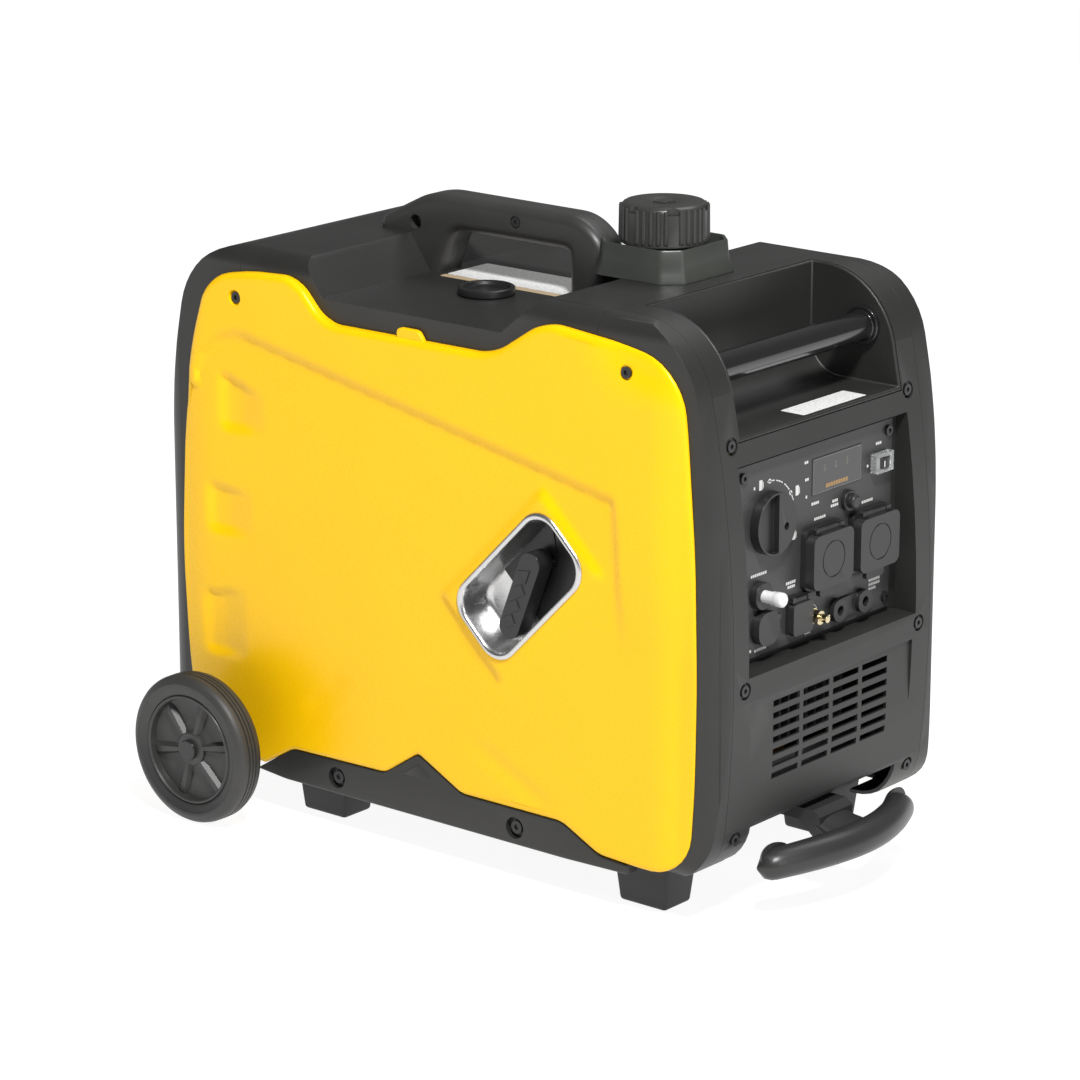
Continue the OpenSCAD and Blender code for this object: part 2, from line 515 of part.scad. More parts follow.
module ac_sockets() color([0.11, 0.11, 0.11]) at_frame() for (k = [0, 1]) translate([0, ac_y + k * socket_pitch, ac_z]) difference() {
  union() {
    translate([panel_x + 0.02, 0, 0]) rotate([90, 0, 90]) linear_extrude(5) rrect(flap_w - 1, flap_h, 6);
    xcyl(panel_x - 26, panel_x + 0.02, 0, 0, 19.8);
    for (y = [-19, 13]) box(panel_x + 5, panel_x + 10, y, y + 6, flap_h / 2 - 5, flap_h / 2);
  }
  xcyl(panel_x - 10, panel_x + 9, 0, 0, 18);
  ycyl(-30, 30, panel_x + 7.8, flap_h / 2 - 2.4, 1.05);
  for (y = [-9.5, 9.5]) xcyl(panel_x - 22, panel_x, y, 0, 2.6);
}
module socket_flap(k) translate([0, ac_y + k * socket_pitch, ac_z]) difference() {
  union() {
    translate([panel_x + 5.4, 0, -1.2]) rotate([90, 0, 90]) linear_extrude(8.4) rrect(flap_w, flap_h - 6, 7);
    translate([panel_x + 5.4, 0, -flap_h / 2 - 2]) rotate([90, 0, 90]) linear_extrude(4) rrect(24, 9, 3);
    box(panel_x + 6.0, panel_x + 9.6, -12.4, 12.4, flap_h / 2 - 5.4, flap_h / 2 - 0.6);
    ycyl(-18.5, 18.5, panel_x + 7.8, flap_h / 2 - 2.4, 1.0);
  }
  for (y = [-19.4, 12.6]) box(panel_x + 4, panel_x + 11.6, y, y + 6.8, flap_h / 2 - 6.2, flap_h / 2 - 3.7);
  difference() { xcyl(panel_x + 13, panel_x + 15, 0, -1, 15); xcyl(panel_x + 12, panel_x + 16, 0, -1, 14); }
}
module socket_flap_left() color([0.15, 0.15, 0.15]) at_frame() socket_flap(0);
module socket_flap_right() color([0.15, 0.15, 0.15]) at_frame() socket_flap(1);
module dc_breaker_body() color([0.09, 0.09, 0.09]) at_frame() difference() {
  union() { xcyl(panel_x + 0.02, panel_x + 7, brk_y, brk_z, 11); xcyl(panel_x - 20, panel_x + 0.02, brk_y, brk_z, 5.9); }
  xcyl(panel_x - 15, panel_x + 8, brk_y, brk_z, 5.05);
}
module dc_breaker_button() color([0.85, 0.85, 0.84]) at_frame() union() {
  xcyl(panel_x - 8, panel_x + 14, brk_y, brk_z, 5.0);
  xcyl(panel_x + 13.9, panel_x + 26, brk_y, brk_z, 6.0);
}
module dc_outlet() color([0.11, 0.11, 0.11]) at_frame() difference() {
  union() { xcyl(panel_x + 0.02, panel_x + 2.5, dc_y, dc_z, 14); xcyl(panel_x - 30, panel_x + 0.03, dc_y, dc_z, 11.3);
    for (z = [-8, 4]) box(panel_x + 2.4, panel_x + 6.4, dc_y + 13.6, dc_y + 17.6, dc_z + z, dc_z + z + 4);
    box(panel_x + 0.02, panel_x + 2.5, dc_y + 8, dc_y + 17.6, dc_z - 8, dc_z + 8); }
  xcyl(panel_x - 26, panel_x + 3, dc_y, dc_z, 10);
  zcyl(dc_z - 12, dc_z + 12, panel_x + 4.6, dc_y + 15.6, 1.05);
}
module dc_outlet_flap() color([0.13, 0.13, 0.13]) at_frame() union() {
  difference() {
    translate([panel_x + 2.8, dc_y, dc_z]) rotate([90, 0, 90]) linear_extrude(5.6) rrect(27, 27, 11);
    for (z = [-8.4, 3.9]) box(panel_x + 2, panel_x + 10, dc_y + 12.4, dc_y + 14, dc_z + z, dc_z + z + 4.5);
  }
  box(panel_x + 3.4, panel_x + 5.8, dc_y + 8, dc_y + 15.6, dc_z - 3.7, dc_z + 3.7);
  zcyl(dc_z - 7.6, dc_z + 7.6, panel_x + 4.6, dc_y + 15.6, 1.0);
}
module usb_outlet() color([0.11, 0.11, 0.11]) at_frame() difference() {
  union() {
    box(panel_x + 0.02, panel_x + 2.5, usb_y - 13, usb_y + 13, usb_z - 14, usb_z + 16);
    box(panel_x - 22, panel_x + 0.03, usb_y - 8.8, usb_y + 8.8, usb_z - 9.8, usb_z + 9.8);
    for (y = [-12, 8]) box(panel_x + 2.4, panel_x + 6.6, usb_y + y, usb_y + y + 4, usb_z + 15.5 - 4, usb_z + 16);
  }
  for (z = [-6, 6]) box(panel_x - 18, panel_x + 3, usb_y - 6.5, usb_y + 6.5, usb_z + z - 2.6, usb_z + z + 2.6);
  ycyl(usb_y - 14, usb_y + 14, panel_x + 4.6, usb_z + 13.8, 1.05);
}
module usb_flap() color([0.13, 0.13, 0.13]) at_frame() union() {
  translate([panel_x + 2.8, usb_y, usb_z - 2.2]) rotate([90, 0, 90]) linear_extrude(5.4) rrect(26, 26, 4);
  box(panel_x + 3.4, panel_x + 5.8, usb_y - 7.7, usb_y + 7.7, usb_z + 9, usb_z + 13.8);
  ycyl(usb_y - 11.6, usb_y + 11.6, panel_x + 4.6, usb_z + 13.8, 1.0);
}
module parallel_sockets() color([0.1, 0.1, 0.1]) at_frame() difference() {
  union() {
    for (k = [0, 1]) { xcyl(panel_x + 0.02, panel_x + 6, par_y + 34 * k, par_z, 9.5); xcyl(panel_x - 20, panel_x + 0.03, par_y + 34 * k, par_z, 7.3); }
    box(panel_x + 0.02, panel_x + 2, par_y - 2, par_y + 36, par_z - 8, par_z + 8);
  }
  for (k = [0, 1]) xcyl(panel_x - 16, panel_x + 7, par_y + 34 * k, par_z, 4);
}
module ground_terminal() color([0.78, 0.68, 0.4]) at_frame() union() {
  xcyl(panel_x - 12, panel_x + 16, gnd_y, gnd_z, 3);
  xcyl(panel_x + 0.02, panel_x + 2, gnd_y, gnd_z, 7);
}
module ground_nut() color([0.78, 0.72, 0.5]) at_frame() difference() {
  union() { xcyl(panel_x + 2.3, panel_x + 9, gnd_y, gnd_z, 5.6);
    box(panel_x + 5, panel_x + 12, gnd_y - 8, gnd_y + 8, gnd_z - 1.4, gnd_z + 1.4); }
  xcyl(panel_x, panel_x + 20, gnd_y, gnd_z, 3.05);
}

// ---- recoil starter ----
rope_x = sx - 5; rope_z = sz - 5; floor_y = -cover_y + dish_depth;
module starter_bezel() color([0.78, 0.78, 0.78]) at_frame() difference() {
  union() {
    xz(-cover_y - 1.2, -hw - 2) bezel_shape(0);
    xz(-hw - 3, floor_y + 1.5) bezel_shape(-6);
  }
  xz(-cover_y - 2, -cover_y + 3) bezel_shape(-4);
  xz(-cover_y - 2, floor_y) bezel_shape(-8);
  xz(floor_y - 1, floor_y + 3) bezel_shape(-22);
}
module starter_guide() color([0.09, 0.09, 0.09]) at_frame() difference() {
  union() {
    intersection() {
      xz(floor_y - 3, floor_y - 0.1) bezel_shape(-9);
      xz(floor_y - 4, floor_y) translate([sx, sz]) rotate(sa) translate([-22, -60]) square([120, 120]);
    }
    ycyl(floor_y - 6, floor_y - 2.9, rope_x, rope_z, 9);
  }
  ycyl(floor_y - 7, floor_y + 1, rope_x, rope_z, rope_d / 2 + 1);
  ycyl(floor_y - 3.5, floor_y - 1.5, sx + 16, sz + 18, 5);
  ycyl(floor_y - 3.5, floor_y + 1, sx + 16, sz + 18, 2);
}
module starter_grip() color([0.1, 0.1, 0.1]) at_frame() difference() {
  translate([rope_x + 4, 0, rope_z - 3]) rotate([0, 21, 0]) union() {
    xz(-cover_y + 1, floor_y - 8.2) rrect(20, pull_l, 9.9);
    xz(floor_y - 8.3, floor_y - 6.3) rrect(16, 22, 7);
  }
  ycyl(-cover_y + 5, floor_y - 5, rope_x, rope_z, rope_d / 2 + 0.05);
}
module starter_rope() color([0.9, 0.9, 0.88]) at_frame()
  ycyl(-cover_y + 6, 0, rope_x, rope_z, rope_d / 2);
reel_z = rope_z - reel_r;
module starter_reel() color([0.1, 0.1, 0.1]) at_frame() difference() {
  union() {
    xcyl(rope_x - 6, rope_x + 6, 0, reel_z, reel_r - rope_d / 2 - 0.4);
    for (x = [-8, 6]) xcyl(rope_x + x, rope_x + x + 2, 0, reel_z, reel_r + 8);
  }
  xcyl(rope_x - 10, rope_x + 10, 0, reel_z, 8.05);
}
module recoil_housing() color([0.15, 0.15, 0.15]) at_frame() difference() {
  union() {
    difference() { xcyl(rope_x - 11, rope_x + 15, 0, reel_z, 56); xcyl(rope_x - 12, rope_x + 11, 0, reel_z, 53); }
    xcyl(rope_x - 9, rope_x + 12, 0, reel_z, 8);
    for (a = [45, 135, 225, 315]) xcyl(rope_x - 11, rope_x - 6, 62 * cos(a), reel_z + 62 * sin(a), 8);
    difference() { for (a = [45, 135, 225, 315]) xcyl(rope_x - 14, rope_x - 6, 56 * cos(a), reel_z + 56 * sin(a), 3);
      xcyl(rope_x - 12, rope_x + 11, 0, reel_z, 53); }
  }
  ycyl(-70, 0, rope_x, rope_z, rope_d / 2 + 2.5);
  for (a = [0:30:330]) xcyl(rope_x + 8, rope_x + 16, 30 * cos(a), reel_z + 30 * sin(a), 5);
}

// ---- roof plug ----
module access_plug() color([0.08, 0.08, 0.08]) at_frame() translate([-20, -53, 0]) difference() {
  union() { zcyl(deck_z + eps, deck_z + 7, 0, 0, 23.5); zcyl(deck_z - 8, deck_z + eps + 0.1, 0, 0, 19.6); }
  zcyl(deck_z + 3, deck_z + 9, 0, 0, 19.5);
}

// ---- axle and wheels ----
w_in = track_out / 2 - wheel_w;
module axle() color([0.6, 0.6, 0.62]) at_frame() union() {
  ycyl(-track_out / 2 + 6, track_out / 2 - 6, -axle_back, wheel_z, axle_d / 2);
  for (s = [-1, 1]) {
    ycyl(s > 0 ? track_out / 2 - 6 : -track_out / 2 + 1, s > 0 ? track_out / 2 - 1 : -track_out / 2 + 6, -axle_back, wheel_z, 8.5);
    ycyl(s > 0 ? w_in - 14 : -w_in + 3.4, s > 0 ? w_in - 3.4 : -w_in + 14, -axle_back, wheel_z, 12);
  }
}
module tyre(s) translate([-axle_back, s * (track_out / 2 - wheel_w / 2), wheel_z]) rotate([90, 0, 0]) difference() {
  rotate_extrude($fn = 96) polygon([[47, -wheel_w / 2 + 2], [58, -wheel_w / 2], [61, -wheel_w / 2 + 1], [wheel_r, -wheel_w / 2 + 4],
    [wheel_r, wheel_w / 2 - 4], [61, wheel_w / 2 - 1], [58, wheel_w / 2], [47, wheel_w / 2 - 2]]);
  rotate_extrude($fn = 96) translate([wheel_r, 5.5 * s]) circle(1.1, $fn = 12);
}
module hub(s) translate([-axle_back, s * (track_out / 2 - wheel_w / 2), wheel_z]) rotate([90, 0, 0]) difference() {
  union() {
    difference() { cylinder(h = wheel_w - 5, r = 46.7, center = true); cylinder(h = wheel_w, r = 43, center = true); }
    translate([0, 0, s > 0 ? -4 : 1]) cylinder(h = 3, r = 43.2);
    translate([0, 0, s > 0 ? -wheel_w / 2 + 6.3 : -wheel_w / 2 - 3]) cylinder(h = wheel_w - 3.3, r = 14);
    for (a = [0:60:300]) rotate([0, 0, a + 12]) translate([12, -1.3, s > 0 ? -7 : 3.9]) cube([32, 2.6, 3.2]);
  }
  cylinder(h = 2 * wheel_w, r = axle_d / 2 + hub_clear, center = true);
}
module tyre_left() color([0.17, 0.17, 0.17]) at_frame() tyre(-1);
module tyre_right() color([0.17, 0.17, 0.17]) at_frame() tyre(1);
module hub_left() color([0.22, 0.22, 0.22]) at_frame() hub(-1);
module hub_right() color([0.22, 0.22, 0.22]) at_frame() hub(1);

// ---- tow bar ----
grip_z = 50; bar_z1 = tray_z - 5;
bar_back = 140;                        // far end of the bar: leaves 0.28 m of travel before the bracket
bow_r = (pow(grip_w / 2, 2) + pow(grip_bow, 2)) / (2 * grip_bow);
bow_a = asin((grip_w / 2 - grip_d / 2) / bow_r);
bow_x = tow_front - grip_d / 2 - bow_r;
module tow_handle() color([0.2, 0.2, 0.2]) at_frame() union() {
  translate([bow_x, 0, grip_z]) {
    intersection() {
      rotate_extrude($fn = 240) translate([bow_r, 0]) circle(grip_d / 2, $fn = 48);
      translate([0, 0, -grip_d]) linear_extrude(2 * grip_d)
        polygon([[0, 0], [2 * bow_r * cos(bow_a), -2 * bow_r * sin(bow_a)], [2 * bow_r * cos(bow_a), 2 * bow_r * sin(bow_a)]]);
    }
    for (s = [-1, 1]) rotate([0, 0, s * bow_a]) translate([bow_r, 0, 0]) sphere(grip_d / 2, $fn = 48);
  }
  xz(-22, 22) polygon([[hl - 38, bar_z1 - bar_t], [hl - 38, bar_z1], [hl - 2, bar_z1], [hl + 16, grip_z + 9], [hl + 28, grip_z + 4],
    [hl + 28, grip_z - 6], [hl + 2, grip_z - 4], [hl - 16, bar_z1 - bar_t]]);
  box(-bar_back, hl - 37, -bar_w / 2, bar_w / 2, bar_z1 - bar_t, bar_z1);
  box(-bar_back - 12, -bar_back + 0.01, -bar_w / 2 - 8, bar_w / 2 + 8, bar_z1 - bar_t, bar_z1);
}
module tow_bracket() color([0.35, 0.35, 0.36]) at_frame() for (x0 = [150, hl - 86]) difference() {
  box(x0, x0 + 34, -bar_w / 2 - 14, bar_w / 2 + 14, bar_z1 - bar_t - 4, tray_z - 0.02);
  box(x0 - 1, x0 + 35, -bar_w / 2 - 0.6, bar_w / 2 + 0.6, bar_z1 - bar_t - 0.6, bar_z1 + 0.6);
}

// ---- power unit ----
crank_z = reel_z;
module engine_block() color([0.62, 0.62, 0.63]) at_frame() union() {
  difference() { box(-90, 20, -62, 62, crank_z - 70, crank_z + 60); xcyl(-100, 30, 0, crank_z, 12.06); }
  translate([-36, 40, crank_z + 40]) rotate([-38, 0, 0]) union() {
    cylinder(h = 60, r = 30);
    for (k = [0:5]) translate([0, 0, 18 + k * 8]) cylinder(h = 3, r = 38);
    translate([-32, -32, 60]) cube([64, 64, 26]);
  }
  for (x = [-80, 0], y = [-50, 50]) zcyl(tray_z + 4, crank_z - 69, x, y, 10);
}
module flywheel() color([0.5, 0.5, 0.52]) at_frame() union() {
  xcyl(-96, 74, 0, crank_z, 12);
  xcyl(26, 58, 0, crank_z, 70);
  difference() { xcyl(57.9, 62, 0, crank_z, 66); xcyl(57, 63, 0, crank_z, 58); }
  for (a = [0:30:330]) translate([0, 0, crank_z]) rotate([a, 0, 0]) box(57.9, 76, -1.5, 1.5, 36, 62);
}
module muffler() color([0.5, 0.48, 0.46]) at_frame() union() {
  translate([-235, 0, 170]) cube([70, 130, 110]);
  box(-166, -90 - eps, 36, 60, 214, 238);
  xcyl(-hl + 1, -234, 65, 230, 17);
}
module inverter_module() color([0.3, 0.3, 0.32]) at_frame() union() {
  box(hl - 92, hl - 80, -95, 95, tray_z + 28, 196);
  for (k = [0:15]) box(hl - 80.1, hl - 56, -92 + k * 12, -89 + k * 12, tray_z + 32, 190);
  for (s = [-1, 1]) box(hl - 92, hl - 80, s * 70 - 8, s * 70 + 8, tray_z + 4.02, tray_z + 28.1);
}

base_tray();
side_skirt_left();
side_skirt_right();
feet();
front_frame();
front_panel();
grab_recess_tub();
grab_bar();
rear_frame();
rear_panel();
top_cover();
side_cover_left();
side_cover_right();
carry_handle_left();
carry_handle_right();
filler_surround();
fuel_tank();
fuel_cap();
cap_plug();
control_panel();
shell_screws();
panel_screws();
cover_screws();
display_window();
engine_switch_knob();
eco_switch_housing();
eco_rocker();
ac_reset_body();
ac_reset_button();
ac_sockets();
socket_flap_left();
socket_flap_right();
dc_breaker_body();
dc_breaker_button();
dc_outlet();
dc_outlet_flap();
usb_outlet();
usb_flap();
parallel_sockets();
ground_terminal();
ground_nut();
starter_bezel();
starter_guide();
starter_grip();
starter_rope();
starter_reel();
recoil_housing();
access_plug();
axle();
tyre_left();
hub_left();
tyre_right();
hub_right();
tow_handle();
tow_bracket();
engine_block();
flywheel();
muffler();
inverter_module();
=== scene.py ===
import json
import math

import bmesh
import bpy
from mathutils import Matrix, Vector

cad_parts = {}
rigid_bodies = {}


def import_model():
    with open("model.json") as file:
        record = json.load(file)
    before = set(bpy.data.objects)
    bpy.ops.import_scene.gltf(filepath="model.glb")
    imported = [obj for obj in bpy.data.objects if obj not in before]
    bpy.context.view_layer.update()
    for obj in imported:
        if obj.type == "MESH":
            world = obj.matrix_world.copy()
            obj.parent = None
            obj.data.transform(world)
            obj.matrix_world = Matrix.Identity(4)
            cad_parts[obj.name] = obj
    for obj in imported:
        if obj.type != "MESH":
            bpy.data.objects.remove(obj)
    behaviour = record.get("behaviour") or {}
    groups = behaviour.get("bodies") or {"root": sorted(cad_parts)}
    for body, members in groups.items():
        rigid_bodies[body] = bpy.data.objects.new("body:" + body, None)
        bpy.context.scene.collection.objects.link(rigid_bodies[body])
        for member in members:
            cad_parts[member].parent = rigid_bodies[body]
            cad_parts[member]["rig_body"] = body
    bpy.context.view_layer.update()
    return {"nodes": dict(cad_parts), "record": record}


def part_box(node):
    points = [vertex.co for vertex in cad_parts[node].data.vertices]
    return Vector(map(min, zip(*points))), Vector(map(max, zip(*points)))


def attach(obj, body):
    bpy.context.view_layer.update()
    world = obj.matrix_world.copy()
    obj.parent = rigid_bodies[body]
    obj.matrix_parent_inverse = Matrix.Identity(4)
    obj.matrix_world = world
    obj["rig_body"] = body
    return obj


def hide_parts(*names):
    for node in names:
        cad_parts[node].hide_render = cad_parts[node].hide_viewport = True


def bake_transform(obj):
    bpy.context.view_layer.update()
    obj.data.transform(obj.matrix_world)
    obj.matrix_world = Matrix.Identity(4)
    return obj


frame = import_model()

# ---- Studio ----
# A long lens on a tripod, well back from the machine and a little above its roof.
target = Vector((-0.0305, 0.0, 0.2343))
azimuth, elevation, distance = math.radians(39.522), math.radians(16.011), 3.4781
back = Vector((math.sin(azimuth) * math.cos(elevation), -math.cos(azimuth) * math.cos(elevation),
        math.sin(elevation)))
lens = bpy.data.cameras.new("tripod_camera")
lens.sensor_width, lens.lens, lens.clip_end = 36.0, 140.16, 60.0
camera = bpy.data.objects.new("tripod_camera", lens)
bpy.context.scene.collection.objects.link(camera)
camera.matrix_world = Matrix.Translation(target + back * distance) @ back.to_track_quat("Z", "Y").to_matrix().to_4x4()
bpy.context.scene.camera = camera


def linear(code):
    """An sRGB hex colour as the linear values that Blender takes."""
    parts = [int(code[i:i + 2], 16) / 255 for i in (1, 3, 5)]
    return [c / 12.92 if c <= 0.04045 else ((c + 0.055) / 1.055) ** 2.4 for c in parts] + [1.0]


def add(material, kind, sockets=None, **settings):
    """Adds a node, sets its properties, and gives each named socket a value or another node's output."""
    node = material.node_tree.nodes.new(kind)
    for key, value in settings.items():
        setattr(node, key, value)
    for key, value in (sockets or {}).items():
        if isinstance(value, bpy.types.NodeSocket):
            material.node_tree.links.new(value, node.inputs[key])
        else:
            node.inputs[key].default_value = value
    return node


def blank(name):
    """A new material: the material, its shader and its texture coordinates."""
    material = bpy.data.materials.new(name)
    material.use_nodes = True
    return material, material.node_tree.nodes["Principled BSDF"], add(material, "ShaderNodeTexCoord")


# Seamless white floor under the machine: a matt diffusing sheet lit from below.
# It has a very faint unevenness of tone.
paper, shader, place = blank("matt_paper")
shader.inputs["Roughness"].default_value = 0.9
shader.inputs["Specular IOR Level"].default_value = 0.2
shader.inputs["Emission Color"].default_value = linear("#FFFFFF")
shader.inputs["Emission Strength"].default_value = 0.92
tone = add(paper, "ShaderNodeTexNoise", {"Vector": place.outputs["Object"], "Scale": 1.5, "Detail": 2.0})
shade = add(paper, "ShaderNodeMix", {"Factor": tone.outputs["Fac"], "A": linear("#8A8A8A"), "B": linear("#8E8E8E")},
        data_type="RGBA")
paper.node_tree.links.new(shade.outputs["Result"], shader.inputs["Base Color"])
form = bmesh.new()
bmesh.ops.create_grid(form, x_segments=2, y_segments=2, size=14.0)
bmesh.ops.translate(form, verts=form.verts, vec=(0, 0, -0.0005))
sheet = bpy.data.meshes.new("paper_floor")
form.to_mesh(sheet)
form.free()
floor = bpy.data.objects.new("paper_floor", sheet)
sheet.materials.append(paper)
bpy.context.scene.collection.objects.link(floor)

# Soft boxes: a strong one high over the starter side, one at the panel end, a top light, and an even white room.
room = bpy.data.worlds.new("white_room")
room.use_nodes = True
room.node_tree.nodes["Background"].inputs["Color"].default_value = linear("#FFFFFF")
room.node_tree.nodes["Background"].inputs["Strength"].default_value = 0.16
bpy.context.scene.world = room
for label, where, aim, width, height, power in (
        ("side_box", (1.8, -1.5, 3.2), (0, -0.1, 0.2), 0.5, 0.5, 165),
        ("panel_box", (3.3, -0.9, 1.3), (0.2, 0, 0.3), 0.8, 1.2, 12),
        ("top_box", (0.2, 1.4, 2.8), (0, 0, 0.4), 2.0, 0.8, 22)):
    data = bpy.data.lights.new(label, "AREA")
    data.shape, data.size, data.size_y, data.energy = "RECTANGLE", width, height, power
    lamp = bpy.data.objects.new(label, data)
    bpy.context.scene.collection.objects.link(lamp)
    aimed = (Vector(where) - Vector(aim)).to_track_quat("Z", "Y").to_matrix().to_4x4()
    lamp.matrix_world = Matrix.Translation(where) @ aimed
bpy.context.scene.view_settings.view_transform = "Standard"

# ---- Black housing: roof, end frames, end panels, tray ----
# Injection-moulded black polypropylene shells, screwed together along their seams.
# The tools are spark eroded, which leaves an even fine grain with a soft grey sheen.


def moulded(name, code, roughness, grain=0.9, depth=0.05, shift="#000000", share=0.0, specular=0.5, coat=0.0):
    """Moulded plastic or rubber: grain in the tool as bump (both in mm), cloudy tone and gloss from the melt."""
    material, shader, place = blank(name)
    fine = add(material, "ShaderNodeTexNoise", {"Vector": place.outputs["Object"], "Scale": 1000 / grain,
            "Detail": 2.0, "Roughness": 0.6})
    relief = add(material, "ShaderNodeBump", {"Height": fine.outputs["Fac"], "Strength": 1.0,
            "Distance": depth / 1000})
    cloud = add(material, "ShaderNodeTexNoise", {"Vector": place.outputs["Object"], "Scale": 14.0, "Detail": 4.0})
    tone = add(material, "ShaderNodeMapRange", {"Value": cloud.outputs["Fac"], "From Min": 0.35, "From Max": 0.65,
            "To Min": 0.0, "To Max": share})
    tint = add(material, "ShaderNodeMix", {"Factor": tone.outputs["Result"], "A": linear(code), "B": linear(shift)},
            data_type="RGBA")
    gloss = add(material, "ShaderNodeMapRange", {"Value": fine.outputs["Fac"], "To Min": roughness - 0.05,
            "To Max": roughness + 0.05})
    links = material.node_tree.links
    links.new(tint.outputs["Result"], shader.inputs["Base Color"])
    links.new(gloss.outputs["Result"], shader.inputs["Roughness"])
    links.new(relief.outputs["Normal"], shader.inputs["Normal"])
    shader.inputs["Specular IOR Level"].default_value = specular
    shader.inputs["Coat Weight"].default_value = coat
    shader.inputs["Coat Roughness"].default_value = 0.08
    return material


def rotate(form, verts, degrees, axis):
    """Turns vertices about an axis through the origin."""
    bmesh.ops.rotate(form, verts=verts, matrix=Matrix.Rotation(math.radians(degrees), 3, axis))


def move(form, verts, vec):
    """Moves vertices by a vector in metres."""
    bmesh.ops.translate(form, verts=verts, vec=vec)


def piece(name, form, material, body, stands_for=(), angle=32):
    """Makes a bmesh into a shaded piece that rides on a body and stands for CAD nodes."""
    mesh = bpy.data.meshes.new(name)
    form.to_mesh(mesh)
    form.free()
    mesh.materials.append(material)
    mesh.shade_smooth()
    mesh.set_sharp_from_angle(angle=math.radians(angle))
    made = bpy.data.objects.new(name, mesh)
    bpy.context.scene.collection.objects.link(made)
    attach(made, body)
    if stands_for:
        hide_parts(*stands_for)
    return made


def rounded(node, radius, material, name=None, angle=40, segments=3):
    """A copy of a CAD node, merged, with its moulded edges rounded to a radius in mm."""
    form = bmesh.new()
    form.from_mesh(frame["nodes"][node].data)
    bmesh.ops.remove_doubles(form, verts=form.verts, dist=3e-6)
    bmesh.ops.dissolve_limit(form, angle_limit=math.radians(0.4), verts=form.verts, edges=form.edges)
    made = piece(name or node + "_moulding", form, material, frame["nodes"][node]["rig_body"], (node,))
    soft = made.modifiers.new("rounded_edges", "BEVEL")
    soft.width, soft.segments, soft.limit_method, soft.angle_limit = radius / 1000, segments, "ANGLE", math.radians(angle)
    soft.use_clamp_overlap, soft.loop_slide = True, True
    return made


black_polypropylene = moulded("black_polypropylene_spark_grain", "#242423", 0.44, shift="#2B2B2A", share=0.6)
for node, radius in (("front_frame", 1.2), ("rear_frame", 1.2), ("front_panel", 1.5), ("rear_panel", 1.2),
        ("top_cover", 2.5),
                     ("base_tray", 0.8), ("grab_recess_tub", 1.5)):
    rounded(node, radius, black_polypropylene)


# ---- Yellow side covers ----
# Glossy yellow ABS mouldings, clipped to the black shells and held by two screws each.
# Their edges roll back to the housing, and a shallow panel, three pockets and soft creases stiffen them.
# The left one is cut out for the starter dish; the right one has eight cooling slots.
cover_rise = 7.7        # mm that the cover stands out from the housing
sheet_origin = -30.5    # mm from the cover's own drawing origin to the middle of the machine


def ease(value):
    """Runs smoothly from 0 to 1."""
    value = min(max(value, 0.0), 1.0)
    return value * value * (3 - 2 * value)


def cover_dip(x, z):
    """How far the cover's face lies behind its highest level, in mm, at a point of its drawing."""
    arc = 362 + math.sqrt(max(50 ** 2 - (x + 190) ** 2, 0.0))
    top = arc if x < -185 else 412 - (x + 185) * 72 / 385
    side = 204 + (340 - z) * 0.07
    fade = ease((z - 205) / 75)
    dip = 3.4 * ease((top - z) / 6) * (1 - fade * (1 - ease((side - x) / 6)))
    # the face turns away towards both ends and round the upper corner
    bend = math.hypot(max(x - 238, 0), max(z - 412, 0) * ease((x - 150) / 90))
    dip += 0.0056 * min(bend, 26) ** 2 + 0.29 * max(bend - 26, 0) * 0.5
    dip += 0.0035 * max(-226 - x, 0) ** 2
    # three pockets along the wheel end
    for left, right, low, high, tilt in ((-205, -165, 324, 372, -0.3), (-222, -180, 234, 278, -0.06),
            (-228, -189, 128, 184, 0.22)):
        across = min((right - x) / (right - left) * 1.15, (x - left + 11) / 11)
        upright = min((z - low) / 8, (high + tilt * (x - left) - z) / 4)
        dip += 4.4 * max(min(across, 1.0), 0.0) * ease(upright)
    # two faint creases above the skirt
    for ax, az, bx, bz in ((-132, 102, -78, 145), (48, 123, 150, 73)):
        length = math.hypot(bx - ax, bz - az)
        along = ((x - ax) * (bx - ax) + (z - az) * (bz - az)) / length ** 2
        off = ((x - ax) * (bz - az) - (z - az) * (bx - ax)) / length
        if 0 < along < 1:
            dip += 1.3 * ease(4 * along * (1 - along)) * ease((14 - abs(off - 7)) / 14 if off > 0 else (off + 4) / 8)
    return dip


# the outline of a cover, clockwise from the wheel: x, z and how far each corner is cut back to round it, in mm
outline = (
    (-172, 43, 2), (-140, 62, 5), (-38, 64, 5), (-2, 88, 4), (44, 64, 5), (148, 64, 6), (186, 45, 6), (228, 43, 10),
    (273, 44, 36), (278, 120, 20), (279, 200, 20), (276.5, 300, 20), (268.5, 398, 10), (262, 449, 36), (204, 460, 16),
    (131, 466.5, 17), (79, 432.5, 17), (-96, 431.5, 15), (-127, 465, 16), (-186, 462, 20), (-226, 452, 24),
    (-246, 392, 20),
    (-258, 320, 20), (-264, 215, 30), (-259, 120, 20), (-248, 44, 34))
cover_back = 150.3      # mm from the middle of the machine to the back of a cover
dish_x, dish_z, dish_slant = 109, 251, 45.5     # middle and slant of the starter dish in the cover's drawing


